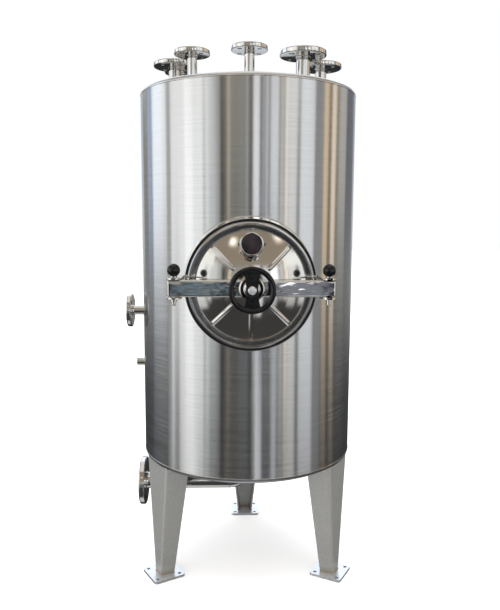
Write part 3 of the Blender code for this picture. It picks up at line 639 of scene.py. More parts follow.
def dress(piece, material, slot, body, *nodes):
    """Give a piece its finish, the body that it moves with and the solids that it stands for."""
    piece.data.materials.clear()
    piece.data.materials.append(material)
    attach(piece, body)
    if nodes:
        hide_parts(*nodes)
    print(piece.name, "has", len(piece.data.polygons), "faces")
    return piece


print("a square with rounded corners has",
      len(rounded([(x, y, 1) for x, y in ((0, 0), (9, 0), (9, 9), (0, 9))])), "points")

# %% Finishes and their slots
BRUSHED = (brushed, "brushed_steel")
SPUN = (spun, "brushed_steel")
POLISHED = (polished, "polished_steel")
PICKLED = (pickled, "matte_steel")
ROLLED = (plate, "satin_steel")
PHENOLIC = (phenolic, "black_plastic")
for material, slot in (BRUSHED, SPUN, POLISHED, PICKLED, ROLLED, PHENOLIC):
    print(material.name, "goes into slot", slot)

# %% [markdown]
# Weld beads
#
# Every joint of the tank is welded without filler metal or with very little, and the bead is
# left as it is. It is a low rounded ridge with fine ripples across it. The ripples of a real bead
# are about 1 mm apart. Here they are 3 mm apart, as fine as the mesh can carry. A curve with a
# round bevel could draw the ridge but not its ripples, so each bead is a skin that is built from
# stations along the joint.

# %% Weld beads
RIPPLE = 3 * MM
RIPPLE_DEPTH = 0.18           # share of the bead's height
BEAD_POINTS = 6


def spread(points, spacing):
    """Points at an even spacing along a closed path."""
    count = len(points)
    lengths = [(points[(i + 1) % count] - points[i]).length for i in range(count)]
    total = sum(lengths)
    wanted = max(8, round(total / spacing))
    even, leg, walked = [], 0, 0.0
    for step in range(wanted):
        target = total * step / wanted
        while walked + lengths[leg] < target:
            walked += lengths[leg]
            leg += 1
        share = (target - walked) / lengths[leg]
        even.append(points[leg].lerp(points[(leg + 1) % count], share))
    return even


def weld(name, stations, width, height, finish, body="tank"):
    """A bead along a closed path of (point, outward direction) stations."""
    count = len(stations)
    points = []
    walked = 0.0
    for number, (point, outward) in enumerate(stations):
        along = (stations[(number + 1) % count][0] - stations[number - 1][0]).normalized()
        beside = along.cross(outward).normalized()
        phase = math.tau * walked / RIPPLE
        swell = 1 - RIPPLE_DEPTH * (0.5 + 0.5 * math.cos(phase)) ** 3
        for step in range(BEAD_POINTS + 1):
            turn = math.pi * step / BEAD_POINTS
            points.append(point + beside * (width / 2 * math.cos(turn))
                          + outward * (height * swell * math.sin(turn)))
        points.append(point - outward * height)
        walked += (stations[(number + 1) % count][0] - point).length
    bead = piece_from(name, points, bands(count, BEAD_POINTS + 2, True))
    return dress(smooth(bead, 50), *finish, body)


print("ripples every", round(RIPPLE / MM, 1), "mm")

# %% [markdown]
# The vessel
#
# The shell is one sheet rolled round and butt welded, with a hole for the manway and two on
# the left. The ends are dished heads: a tight knuckle at the rim and a very shallow sphere. A
# squashed sphere would lack the knuckle, so they are spun from their outlines in fine steps. A
# mirror shows the smallest facet, so the true normals of the cylinder, the knuckle and the sphere
# are set on the meshes.

# %% Shell
GAP = 0.3 * MM                # left between pieces that touch, as in the solids
SHELL_STEPS = 240
HOLE_STEPS = 192
HOLE_START, HOLE_DEPTH = 300 * MM, 160 * MM     # a drill starts inside the wall and ends outside
NECK_RADIUS = 160 * MM
NECK_WALL = 5 * MM
SIDE_PIPE = 16 * MM
SOCKET_RADIUS = 13.2 * MM
SIDE_NOZZLE = middle("side_nozzle_flange")
SOCKET = middle("sensor_socket")


def radial(point):
    return Vector((point.x, point.y, 0)).normalized()


rows = [shell_low.z + (shell_high.z - shell_low.z) * step / 6 for step in range(7)]
outline = [(TANK_RADIUS, z) for z in rows] + [(TANK_RADIUS - WALL, z) for z in rows[::-1]]
shell = turned("tank_shell", outline, SHELL_STEPS, AXIS, UP)
drill(shell, MANWAY + FRONT * HOLE_START, FRONT, NECK_RADIUS + GAP, HOLE_DEPTH, HOLE_STEPS)
for fitting, radius in ((SIDE_NOZZLE, SIDE_PIPE), (SOCKET, SOCKET_RADIUS)):
    start = Vector((AXIS.x - HOLE_START, AXIS.y, fitting.z))
    drill(shell, start, LEFT, radius + GAP, HOLE_DEPTH)
dress(exact_normals(shell, radial), *BRUSHED, "tank", "shell")

# %% Dished heads
PIPES = {"left_outer": 19, "left_inner": 16, "centre": 16, "right_inner": 22.5,
         "right_outer": 19, "rear": 16}           # outer radii of the pipes in mm
DRAIN_PIPE = 28.5 * MM


class DishedHead:
    """A knuckle that starts at the rim, and a shallow sphere. It bulges up or down (way)."""

    def __init__(self, rim_z, knuckle, slope, way):
        self.rim_z, self.knuckle, self.way = rim_z, knuckle, way
        self.slope = math.radians(slope)
        self.knuckle_radius = TANK_RADIUS - knuckle
        self.sphere = self.knuckle_radius / math.sin(self.slope) + knuckle
        self.sphere_z = rim_z - way * self.knuckle_radius / math.tan(self.slope)

    def height(self, radius, inset=0.0):
        return self.sphere_z + self.way * math.sqrt((self.sphere - inset) ** 2 - radius ** 2)

    def side(self, inset, hole):
        bend = self.knuckle - inset
        points = []
        for step in range(11):
            angle = (math.pi / 2 - self.slope) * step / 10
            points.append((self.knuckle_radius + bend * math.cos(angle),
                           self.rim_z + self.way * bend * math.sin(angle)))
        last = points[-1][0]
        for step in range(1, 25):
            radius = last + (hole - last) * step / 24
            points.append((radius, self.height(radius, inset)))
        return points

    def normal(self, point):
        if math.hypot(point.x, point.y) < self.knuckle_radius:
            return (point - Vector((0, 0, self.sphere_z))).normalized()
        bend_centre = radial(point) * self.knuckle_radius + Vector((0, 0, self.rim_z))
        return (point - bend_centre).normalized()

    def piece(self, name, hole):
        outline = self.side(0.0, hole)[::-1] + self.side(WALL, hole)
        return turned(name, outline, SHELL_STEPS, AXIS, UP)


TOP = DishedHead(shell_high.z + GAP, 12 * MM, 11, 1)
BOTTOM = DishedHead(shell_low.z - GAP, 16 * MM, 18, -1)
top_head = TOP.piece("tank_top_head", 0.0)
for name, radius in PIPES.items():
    place = middle(name + "_nozzle_pipe")
    start = Vector((place.x, place.y, shell_high.z))
    drill(top_head, start, UP, radius * MM + GAP, HOLE_DEPTH)
dress(exact_normals(top_head, TOP.normal), *SPUN, "tank", "top_head")
bottom_head = BOTTOM.piece("tank_bottom_head", DRAIN_PIPE + GAP)
dress(exact_normals(bottom_head, BOTTOM.normal), *SPUN, "tank", "bottom_head")


# %% Seams of the vessel
def ring_path(foot, radius, count, direction=UP):
    """Points on a ring round a foot point, square to a direction."""
    frame_here = facing(foot, direction)
    turns = [math.tau * step / count for step in range(count)]
    return [frame_here @ Vector((radius * math.cos(t), radius * math.sin(t), 0)) for t in turns]


def ring_stations(foot, radius, count, direction, lean):
    """Stations of a bead round a pipe. It leans along the pipe by a share."""
    return [(point, ((point - foot).normalized() + direction * lean).normalized())
            for point in ring_path(foot, radius, count, direction)]


SMALL_BEAD, LARGE_BEAD = 140, 240     # stations round a small pipe and round the drain
SEAM_WIDTH = 3 * MM
SEAM_HEIGHT = 1 * MM
for name, z in (("top_seam", shell_high.z), ("bottom_seam", shell_low.z)):
    path = ring_path(AXIS + UP * z, TANK_RADIUS, 480)
    weld(name, [(point, radial(point - AXIS)) for point in path], SEAM_WIDTH, SEAM_HEIGHT,
         POLISHED)

# %% [markdown]
# Nozzles on the top
#
# Each nozzle is a short polished pipe that is welded into the head, with a turned plate flange on
# it. The flange's edges are well rounded, and its bolt holes stand beside the centre lines. It is
# made as in a workshop: an outline is turned, and the holes are drilled with Boolean cuts. The
# bead round the pipe's foot follows the slope of the head.

# %% Flanges and pipes
FLANGE_EDGE = 4.5 * MM
PIPE_WALL = 3 * MM
PIPE_RECESS = 4 * MM
BOLTS = {"small": (42.5, 7.0), "medium": (50.0, 9.0), "large": (55.0, 9.0), "drain": (62.5, 9.0)}


def flange(name, node, pipe_radius, kind, foot, direction):
    """A plate flange with four bolt holes that starts at foot and looks in a direction."""
    radius = max(size(node)) / 2
    thickness = min(size(node))
    bore = pipe_radius + GAP
    outline = rounded([(bore, 0), (radius, 0, FLANGE_EDGE), (radius, thickness, FLANGE_EDGE),
                       (bore, thickness, 0.5 * MM)])
    made = turned(name, outline, 96, foot, direction)
    circle, hole = (value * MM for value in BOLTS[kind])
    frame_here = facing(foot, direction)
    for quarter in range(4):
        turn = math.radians(45 + 90 * quarter)
        start = frame_here @ Vector((circle * math.cos(turn), circle * math.sin(turn), -0.01))
        drill(made, start, direction, hole, thickness + 0.02, 32)
    return dress(smooth(made), *POLISHED, "tank", node)


def pipe(name, node, radius, wall, foot, direction, length, steps=64):
    outline = rounded([(radius - wall, length, 0.4 * MM), (radius, length, 0.4 * MM),
                       (radius, 0), (radius - wall, 0)])
    return dress(smooth(turned(name, outline, steps, foot, direction)), *POLISHED, "tank", node)


KINDS = {16: "small", 19: "medium", 22.5: "large"}
for name, radius_mm in PIPES.items():
    node = name + "_nozzle"
    low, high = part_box(node + "_pipe")
    foot = Vector(((low.x + high.x) / 2, (low.y + high.y) / 2, low.z))
    radius = radius_mm * MM
    pipe(name + "_pipe", node + "_pipe", radius, PIPE_WALL, foot, UP, high.z - low.z)
    under = Vector((foot.x, foot.y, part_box(node + "_flange")[0].z))
    flange(name + "_flange", node + "_flange", radius, KINDS[radius_mm], under, UP)
    weld(name + "_flange_weld", ring_stations(under, radius, SMALL_BEAD, UP, -1),
         4 * MM, 1.6 * MM, POLISHED)
    bead = []
    for point in ring_path(foot, radius, SMALL_BEAD):
        on_head = point - AXIS
        on_head.z = TOP.height(math.hypot(on_head.x, on_head.y))
        outward = (TOP.normal(on_head) + (point - foot).normalized()).normalized()
        bead.append((on_head + AXIS, outward))
    weld(name + "_foot_weld", bead, 5 * MM, 2 * MM, POLISHED)

# %% [markdown]
# Fittings on the left side
#
# A flanged nozzle sits at half height and a short socket for a sensor below it. Where a
# pipe meets the round shell, its weld runs along a saddle curve. The curve is found by pushing
# each point of the pipe's outline along the pipe until it lies on the shell. A Boolean union would
# find it too, but it leaves no path for the bead.


# %% Side nozzle and socket
def saddle(foot, direction, radius, count):
    """Stations of a weld where a level pipe meets the shell."""
    frame_here = facing(foot, direction)
    stations = []
    for step in range(count):
        turn = math.tau * step / count
        around_pipe = frame_here.to_3x3() @ Vector((math.cos(turn), math.sin(turn), 0))
        point = foot + around_pipe * radius
        flat = Vector((point.x - AXIS.x, point.y - AXIS.y, 0))
        along = flat.dot(direction)
        inwards = along ** 2 - flat.length_squared + TANK_RADIUS ** 2
        point = point + direction * (math.sqrt(inwards) - along)
        stations.append((point, (radial(point - AXIS) + around_pipe).normalized()))
    return stations


side_low, side_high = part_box("side_nozzle_pipe")
side_foot = Vector((side_high.x, AXIS.y, SIDE_NOZZLE.z))
pipe("side_pipe", "side_nozzle_pipe", SIDE_PIPE, PIPE_WALL, side_foot, LEFT,
     side_high.x - side_low.x)
side_under = Vector((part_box("side_nozzle_flange")[1].x, AXIS.y, SIDE_NOZZLE.z))
flange("side_flange", "side_nozzle_flange", SIDE_PIPE, "small", side_under, LEFT)
weld("side_nozzle_weld", saddle(side_foot, LEFT, SIDE_PIPE, SMALL_BEAD), 5 * MM, 2.2 * MM,
     POLISHED)
weld("side_flange_weld", ring_stations(side_under, SIDE_PIPE, SMALL_BEAD, LEFT, -1),
     4 * MM, 1.6 * MM, POLISHED)

socket_low, socket_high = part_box("sensor_socket")
socket_foot = Vector((socket_high.x, AXIS.y, SOCKET.z))
SOCKET_WALL = 4 * MM
length = socket_high.x - socket_low.x
thread = SOCKET_RADIUS - SOCKET_WALL
outline = rounded([(thread, length, 1.2 * MM), (SOCKET_RADIUS, length, 0.8 * MM),
                   (SOCKET_RADIUS, 0), (thread, 0)])
socket = turned("sensor_stub", outline, 64, socket_foot, LEFT)
dress(smooth(socket), *POLISHED, "tank", "sensor_socket")
weld("socket_weld", saddle(socket_foot, LEFT, SOCKET_RADIUS, 120), 4.5 * MM, 2 * MM, POLISHED)

# %% [markdown]
# The drain
#
# The drain leaves the middle of the bottom, turns through a long-radius elbow and ends in a
# flange on the left. The elbow is a bought fitting, so it has a butt weld at each end. A curve
# with a round bevel would give its outside only, so rings are joined along the path and back
# again inside, and the pipe gets its wall.

# %% Drain
BEND = 60 * MM
BEND_STEPS, PIPE_STEPS = 24, 64
drain_z = middle("drain_flange").z
drain_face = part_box("drain_flange")[0].x
bend_centre = Vector((AXIS.x - BEND, AXIS.y, drain_z + BEND))
drain_top = AXIS + UP * (BOTTOM.height(DRAIN_PIPE) + WALL)
path = [(drain_top, UP)]
for step in range(BEND_STEPS + 1):
    turn = math.radians(90) * step / BEND_STEPS
    outwards = Vector((math.cos(turn), 0, -math.sin(turn)))
    path.append((bend_centre + BEND * outwards, Vector((math.sin(turn), 0, math.cos(turn)))))
path.append((Vector((drain_face + PIPE_RECESS, AXIS.y, drain_z)), -LEFT))
points = []
for radius, way in ((DRAIN_PIPE, path), (DRAIN_PIPE - PIPE_WALL, path[::-1])):
    for centre, along in way:
        across = along.cross(FRONT)
        points += [centre + radius * (across * math.cos(turn) + FRONT * math.sin(turn))
                   for turn in (math.tau * step / PIPE_STEPS for step in range(PIPE_STEPS))]
drain = piece_from("drain_elbow_pipe", points, bands(2 * len(path), PIPE_STEPS, True))
dress(smooth(drain), *POLISHED, "tank", "drain_pipe")
drain_under = Vector((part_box("drain_flange")[1].x, AXIS.y, drain_z))
flange("drain_outlet_flange", "drain_flange", DRAIN_PIPE, "drain", drain_under, LEFT)

for name, foot, direction in (("elbow_top_weld", path[1][0], UP),
                              ("elbow_end_weld", path[-2][0], LEFT)):
    weld(name, ring_stations(foot, DRAIN_PIPE, LARGE_BEAD, direction, 0), 4 * MM, 0.8 * MM,
         POLISHED)
weld("drain_flange_weld", ring_stations(drain_under, DRAIN_PIPE, LARGE_BEAD, LEFT, -1),
     5 * MM, 2 * MM, POLISHED)
bead = []
for point in ring_path(AXIS + UP * BOTTOM.height(DRAIN_PIPE), DRAIN_PIPE, LARGE_BEAD):
    outward = (BOTTOM.normal(point - AXIS) + radial(point - AXIS)).normalized()
    bead.append((point, outward))
weld("drain_foot_weld", bead, 5 * MM, 2 * MM, POLISHED)

# %% [markdown]
# The manway
#
# A short neck stands out of the shell and carries a turned lip, and a pad wrapped on the shell
# stiffens the hole. The cover is a pressed dome. Round it runs a groove, then a land that is turned
# bright and rises a little, and last a rolled edge. Lip and land are very flat cones, so that they
# mirror the dark screen and draw black rings. Seven ribs are pressed outwards in the dome like
# rays, and the sight glass takes the place of the eighth. The cover could be sculpted, but its
# heights are known: it is a net of rings that the ribs lift, with finer steps beside them.

# %% Neck and lip
LIP_RADIUS = size("manway_collar").x / 2
LIP_BACK, LIP_FRONT = 403 * MM, 415 * MM
NECK_BACK = 300 * MM
CONE_START, CONE_DROP = 176 * MM, 0.6 * MM      # the outer part of the lip is a very flat cone
bore = NECK_RADIUS - NECK_WALL
outline = rounded([
    (bore, LIP_FRONT, 1 * MM), (174 * MM, LIP_FRONT, 0.5 * MM),
    (CONE_START, LIP_FRONT - CONE_DROP, 0.5 * MM), (LIP_RADIUS, LIP_FRONT, 1.2 * MM),
    (LIP_RADIUS, LIP_BACK, 2.5 * MM), (NECK_RADIUS, LIP_BACK, 2 * MM),
    (NECK_RADIUS, NECK_BACK), (bore, NECK_BACK)])
neck = turned("manway_ring", outline, 256, MANWAY, FRONT)
inside = TANK_RADIUS - WALL
trim = [(0, 0.3), (inside, 0.3), (inside, -0.3), (0, -0.3)]
cut(neck, turned("neck_trim", trim, SHELL_STEPS, MANWAY, UP))
dress(smooth(neck), *POLISHED, "tank", "manway_collar")
weld("manway_weld", saddle(MANWAY, FRONT, NECK_RADIUS, 1200), 7 * MM, 3.2 * MM, POLISHED)

# %% Pad round the neck
PAD_HOLE, PAD_RADIUS = 158 * MM, 196 * MM
PAD = 5 * MM
PAD_STEPS = 256
profile = rounded([(PAD_HOLE, -WALL / 2), (PAD_HOLE, PAD), (PAD_RADIUS - 1 * MM, PAD, 4 * MM),
                   (PAD_RADIUS, -WALL / 2)])
points = []
for radius, lift in profile:
    for step in range(PAD_STEPS):
        turn = math.tau * step / PAD_STEPS
        across = radius * math.cos(turn)
        depth = math.sqrt((TANK_RADIUS + lift) ** 2 - across ** 2)
        points.append(MANWAY + Vector((across, -depth, radius * math.sin(turn))))
pad = piece_from("manway_pad", points, bands(len(profile), PAD_STEPS, True))
dress(smooth(pad), *POLISHED, "tank")

# %% Gasket
GASKET_FRONT = 420.8 * MM
GASKET_IN, GASKET_OUT = 159 * MM, 172 * MM
GASKET_BACK = LIP_FRONT + GAP
outline = rounded([(GASKET_IN, GASKET_FRONT, 1 * MM), (GASKET_OUT, GASKET_FRONT, 1 * MM),
                   (GASKET_OUT, GASKET_BACK, 1 * MM), (GASKET_IN, GASKET_BACK, 1 * MM)])
gasket = turned("cover_gasket", outline, 192, MANWAY, FRONT)
dress(smooth(gasket), silicone, "gasket_rubber", "cover", "manway_gasket")

# %% Cover
COVER_RADIUS = 178 * MM
COVER_LAND = 426.5 * MM       # front of the rolled edge
LAND = 422.6 * MM             # the land rises from here towards the rolled edge
LAND_RISE = 0.7 * MM
COVER_BACK = LIP_FRONT + 2 * GAP
DOME_RADIUS = 155 * MM
DOME_START = 419.5 * MM
DOME_DEPTH = 38 * MM
SHEET = 4 * MM
BALL = (DOME_RADIUS ** 2 + DOME_DEPTH ** 2) / (2 * DOME_DEPTH)
RIB_ANGLES = (0, 45, 135, 180, 225, 270, 315)
RIB_START, RIB_END = 66 * MM, 155 * MM
RIB_HALF = 6 * MM
RIB_HEIGHT = 3.7 * MM
RIB_FILLET = 0.7 * MM


def dome_height(radius):
    return DOME_START + math.sqrt(BALL ** 2 - radius ** 2) - math.sqrt(BALL ** 2 - DOME_RADIUS ** 2)


def rib_height(radius, turn):
    """Height of the nearest rib over the dome: a round crest with a small fillet at its foot."""
    nearest = min(RIB_ANGLES, key=lambda a: abs((math.degrees(turn) - a + 180) % 360 - 180))
    off = turn - math.radians(nearest)
    along, across = radius * math.cos(off), radius * math.sin(off)
    if along < 0:
        return 0.0
    past = max(RIB_START + RIB_HALF - along, along - RIB_END + RIB_HALF, 0.0)
    distance = math.hypot(past, across) / RIB_HALF
    crest = RIB_HEIGHT * (1 - distance ** 2)
    if crest < -6 * MM:
        return 0.0
    return (crest + math.sqrt(crest ** 2 + RIB_FILLET ** 2)) / 2


turns, turn = [], 0.0
while turn < 360 - 0.2:
    turns.append(math.radians(turn))
    near_rib = min(abs((turn - a + 180) % 360 - 180) for a in RIB_ANGLES) < 7.2
    turn += 0.36 if near_rib else 1.5
radii = [4 * MM * step for step in range(16)] + [(63 + 1.5 * step) * MM for step in range(61)]
front = [(radius, dome_height(radius)) for radius in radii]
groove = GASKET_FRONT + GAP
# from the dome outwards: groove, land, second groove, rolled edge, and the back with the groove
# of the gasket
rim = rounded([front[-1], (DOME_RADIUS, DOME_START, 0.4 * MM), (156.3 * MM, DOME_START, 0.4 * MM),
               (157.5 * MM, LAND, 0.5 * MM), (169 * MM, LAND + LAND_RISE, 0.4 * MM),
               (169.8 * MM, LAND - 0.4 * MM, 0.3 * MM), (170.8 * MM, COVER_LAND, 1.2 * MM),
               (175.5 * MM, COVER_LAND, 2.2 * MM), (COVER_RADIUS, COVER_LAND - 5 * MM, 2 * MM),
               (COVER_RADIUS, COVER_BACK, 0.6 * MM),
               (174 * MM, COVER_BACK), (174 * MM, groove), (158 * MM, groove),
               (158 * MM, COVER_BACK), (152 * MM, COVER_BACK - 0.2 * MM)], closed=False)
back = [(radius * 0.98, height - SHEET) for radius, height in front[:-1:3][::-1]]
profile = front[:-1] + rim + back
stand = facing(MANWAY, FRONT)
points = []
for number, (radius, height) in enumerate(profile):
    on_front = number < len(front) + 2
    for turn in turns:
        lift = rib_height(radius, turn) if on_front and radius > 50 * MM else 0.0
        across = Vector((radius * math.cos(turn), radius * math.sin(turn), height + lift))
        points.append(stand @ across)
cover = piece_from("pressed_cover", points, bands(len(profile), len(turns), False))
GLASS_REACH = 117.7 * MM
GLASS_CENTRE = MANWAY + UP * GLASS_REACH
GLASS_NECK = 30 * MM
drill(cover, GLASS_CENTRE + FRONT * 0.40, FRONT, GLASS_NECK + GAP, 0.09, 96)
dress(smooth(cover, 40), pressed, "polished_steel", "cover", "manway_cover")

# %% Sight glass
NECK_FRONT = 487 * MM
GLASS_THICKNESS = 6 * MM
GLASS_RADIUS = 28.7 * MM
GLASS_BORE = 25 * MM
neck_back = dome_height(GLASS_REACH + GLASS_NECK) - SHEET
outline = rounded([(GLASS_BORE, NECK_FRONT, 0.5 * MM), (GLASS_NECK, NECK_FRONT, 0.5 * MM),
                   (GLASS_NECK, neck_back), (GLASS_BORE, neck_back)])
glass_neck = turned("glass_neck", outline, 96, GLASS_CENTRE, FRONT)
dress(smooth(glass_neck), *POLISHED, "cover", "sight_glass_neck")
back = NECK_FRONT + GAP
face = back + GLASS_THICKNESS
outline = rounded([(0, face), (GLASS_RADIUS, face, 0.8 * MM), (GLASS_RADIUS, back, 0.8 * MM),
                   (0, back)], closed=False)
disc = turned("round_glass", outline, 96, GLASS_CENTRE, FRONT)
dress(smooth(disc), glass, "sight_glass", "cover", "sight_glass")
RING_RADIUS = 32.5 * MM
RING_LIP = 27.5 * MM
outline = rounded([(RING_LIP, face + 3 * MM, 1.4 * MM), (RING_RADIUS, face + 3 * MM, 2.8 * MM),
                   (RING_RADIUS, back - 10 * MM, 1 * MM), (GLASS_NECK + GAP, back - 10 * MM),
                   (GLASS_NECK + GAP, back), (GLASS_RADIUS + GAP, back),
                   (GLASS_RADIUS + GAP, face + GAP), (RING_LIP, face + GAP)])
ring = turned("glass_ring", outline, 128, GLASS_CENTRE, FRONT)
LUG_IN, LUG_OUT, LUG_HALF = 31 * MM, 37.5 * MM, 4 * MM
for side in (-1, 1):
    lug = [(side * LUG_IN, -LUG_HALF, 0.3 * MM), (side * LUG_OUT, -LUG_HALF, 2 * MM),
           (side * LUG_OUT, LUG_HALF, 2 * MM), (side * LUG_IN, LUG_HALF, 0.3 * MM)]
    cut(ring, soften(prism("lug", rounded(lug), back - 4 * MM, face, facing(GLASS_CENTRE, FRONT)),
                     0.5 * MM), "UNION")
dress(smooth(ring), *POLISHED, "cover", "sight_glass_ring")
bead = []
GLASS_BEAD = 420              # stations
for step in range(GLASS_BEAD):
    turn = math.tau * step / GLASS_BEAD
    aside = Vector((math.cos(turn), 0, math.sin(turn)))
    point = GLASS_CENTRE + aside * GLASS_NECK
    reach = (point - MANWAY).length
    point = point + FRONT * dome_height(reach)
    bead.append((point, (aside + FRONT).normalized()))
weld("glass_neck_weld", bead, 4 * MM, 1.8 * MM, POLISHED, "cover")

# %% [markdown]
# Yoke bar, screw and pins
#
# The bar is a channel folded from sheet, with solid ends for the pins. Its long edges are rounded
# by the fold, and the pull of the screw has bowed its front a little. The nut on it is a low bell
# with a flange. The screw has a trapezoidal thread of 4 mm pitch, so that three turns lift the
# cover by 12 mm. The Screw modifier could wind a thread, but its ends would be ragged. Here the
# whole screw is one skin whose radius rises and falls along a helix.


# %% Yoke bar
def box_between(name, low, high):
    outline = [(low[0], low[1]), (high[0], low[1]), (high[0], high[1]), (low[0], high[1])]
    return prism(name, outline, low[2], high[2], Matrix())


PIN_X = 208 * MM
PIN_RADIUS = 6 * MM
PIN_PLAY = 0.6 * MM
PIN_DRILL = 40 * MM           # half the length of the drill for the pins
BAR_WALL = 4 * MM
pin_y = middle("hinge_pin").y
bar_low, bar_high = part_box("yoke_bar")
BOW = 5 * MM                  # the bar's front lies back this much at both ends
BOW_STEPS = 24
HOLLOW_HALF = 172 * MM
half_bar = (bar_high.x - bar_low.x) / 2
outline = [(AXIS.x + half_bar * share, bar_low.y + BOW * share ** 2)
           for share in (step / BOW_STEPS - 1 for step in range(2 * BOW_STEPS + 1))]
outline += [(bar_high.x, bar_high.y), (bar_low.x, bar_high.y)]
bar = soften(prism("yoke_channel", outline, bar_low.z, bar_high.z, Matrix()), 5 * MM, 6)
hollow = box_between(
    "hollow", (AXIS.x - HOLLOW_HALF, bar_low.y + BOW + BAR_WALL, bar_low.z + BAR_WALL),
    (AXIS.x + HOLLOW_HALF, bar_high.y + 0.01, bar_high.z - BAR_WALL))
cut(bar, soften(hollow, 1.5 * MM))
SCREW_HOLE = 8.8 * MM
SCREW_DRILL, SCREW_DEPTH = 470 * MM, 60 * MM
drill(bar, MANWAY + FRONT * SCREW_DRILL, FRONT, SCREW_HOLE, SCREW_DEPTH, 48)
for side in (-1, 1):
    pin_foot = Vector((AXIS.x + side * PIN_X, pin_y, MANWAY.z - PIN_DRILL))
    drill(bar, pin_foot, UP, PIN_RADIUS + PIN_PLAY, 2 * PIN_DRILL, 48)
dress(smooth(bar), polished_bar, "polished_steel", "yoke", "yoke_bar")

# %% Nut, screw and boss
nut_base = 512 * MM + GAP
nut_top = nut_base + 15 * MM
outline = rounded([(SCREW_HOLE, nut_top, 0.6 * MM), (17 * MM, nut_top, 1.2 * MM),
                   (21 * MM, nut_base + 9 * MM, 6 * MM), (34 * MM, nut_base + 5 * MM, 6 * MM),
                   (35 * MM, nut_base, 0.5 * MM), (SCREW_HOLE, nut_base)])
dress(smooth(turned("flanged_nut", outline, 96, MANWAY, FRONT)), *POLISHED, "yoke", "screw_nut")

SCREW_START, SCREW_END = 460.3 * MM, 551.5 * MM
PITCH = 4 * MM
CREST, ROOT = 8 * MM, 6 * MM
TIP = 8 * MM                  # plain end that sits in the cup of the cover
columns, rows = 48, 230
points = []
for row in range(rows + 1):
    distance = SCREW_START + (SCREW_END - SCREW_START) * row / rows
    for column in range(columns):
        turn = math.tau * column / columns
        phase = (distance / PITCH - column / columns) % 1
        wave = min(max(1.5 * abs(2 * phase - 1) - 0.25, 0), 1)
        in_thread = min(1, (distance - SCREW_START - TIP) / MM, (SCREW_END - distance) / MM)
        depth = (CREST - ROOT) * wave * max(in_thread, 0)
        points.append(stand @ Vector(((CREST - depth) * math.cos(turn),
                                      (CREST - depth) * math.sin(turn), distance)))
ends = [tuple(range(columns)), tuple(range(rows * columns, (rows + 1) * columns))]
screw = piece_from("threaded_spindle", points, bands(rows + 1, columns, False) + ends)
dress(smooth(screw, 60), *POLISHED, "wheel", "screw_spindle")

BOSS_RADIUS = 13 * MM
CUP_FLOOR, CUP_FRONT = 460 * MM, 472.5 * MM
boss_foot = dome_height(0) + GAP
outline = rounded([(0, CUP_FLOOR), (SCREW_HOLE, CUP_FLOOR), (SCREW_HOLE, CUP_FRONT, 0.6 * MM),
                   (BOSS_RADIUS, CUP_FRONT, 1 * MM), (BOSS_RADIUS, boss_foot, 0.3 * MM),
                   (0, boss_foot)], closed=False)
dress(smooth(turned("screw_cup", outline, 64, MANWAY, FRONT)), *POLISHED, "cover", "cover_boss")
centre = MANWAY + FRONT * dome_height(BOSS_RADIUS)
weld("boss_weld", ring_stations(centre, BOSS_RADIUS, 120, FRONT, 1), 4 * MM, 1.8 * MM, POLISHED,
     "cover")


# %% Ears of the hinge and the latch
EAR_IN, EAR_OUT = 23.5 * MM, 28.5 * MM
EAR_RADIUS = 19.5 * MM
EAR_START, EAR_SIDE, EAR_BACK = 150 * MM, 187.5 * MM, 385 * MM
SPACE_IN, SPACE_OUT = 140 * MM, 240 * MM        # the space between the ears, from the middle
SPACE_BACK, SPACE_FRONT = 391 * MM, 530 * MM
PIN_DISTANCE = AXIS.y - pin_y
HALF_TURN = [math.pi * step / 24 for step in range(25)]


def ears(name, node, side):
    """Two ears joined by a web. The latch side has slots that are open to the front."""
    tip = [(PIN_X + EAR_RADIUS * math.cos(t), PIN_DISTANCE + EAR_RADIUS * math.sin(t))
           for t in HALF_TURN]
    outline = [(EAR_START, EAR_BACK), (PIN_X + EAR_RADIUS, EAR_BACK), *tip,
               (EAR_SIDE, PIN_DISTANCE), (EAR_SIDE, LIP_BACK - GAP), (EAR_START, LIP_BACK - GAP)]
    outline = [(AXIS.x + side * x, AXIS.y - y) for x, y in outline]
    made = prism(name, outline, MANWAY.z - EAR_OUT, MANWAY.z + EAR_OUT, Matrix())
    xs = sorted((AXIS.x + side * SPACE_IN, AXIS.x + side * SPACE_OUT))
    cut(made, box_between("space", (xs[0], AXIS.y - SPACE_FRONT, MANWAY.z - EAR_IN),
                          (xs[1], AXIS.y - SPACE_BACK, MANWAY.z + EAR_IN)))
    drill(made, MANWAY + FRONT * HOLE_START, FRONT, NECK_RADIUS + GAP, HOLE_DEPTH, HOLE_STEPS)
    pin_foot = Vector((AXIS.x + side * PIN_X, pin_y, MANWAY.z - PIN_DRILL))
    if side < 0:
        drill(made, pin_foot, UP, PIN_RADIUS + PIN_PLAY, 2 * PIN_DRILL, 48)
    else:
        slot_half = 7.2 * MM
        slot = [(pin_foot.x + slot_half * math.cos(t), pin_foot.y + slot_half * math.sin(t))
                for t in HALF_TURN]
        slot += [(pin_foot.x - slot_half, pin_foot.y - 0.03),
                 (pin_foot.x + slot_half, pin_foot.y - 0.03)]
        cut(made, prism("slot", slot, MANWAY.z - PIN_DRILL, MANWAY.z + PIN_DRILL, Matrix()))
    soften(made, 0.8 * MM)
    return dress(smooth(made), *POLISHED, "tank", node)


ears("hinge_ears", "hinge_bracket", -1)
ears("latch_ears", "latch_bracket", 1)

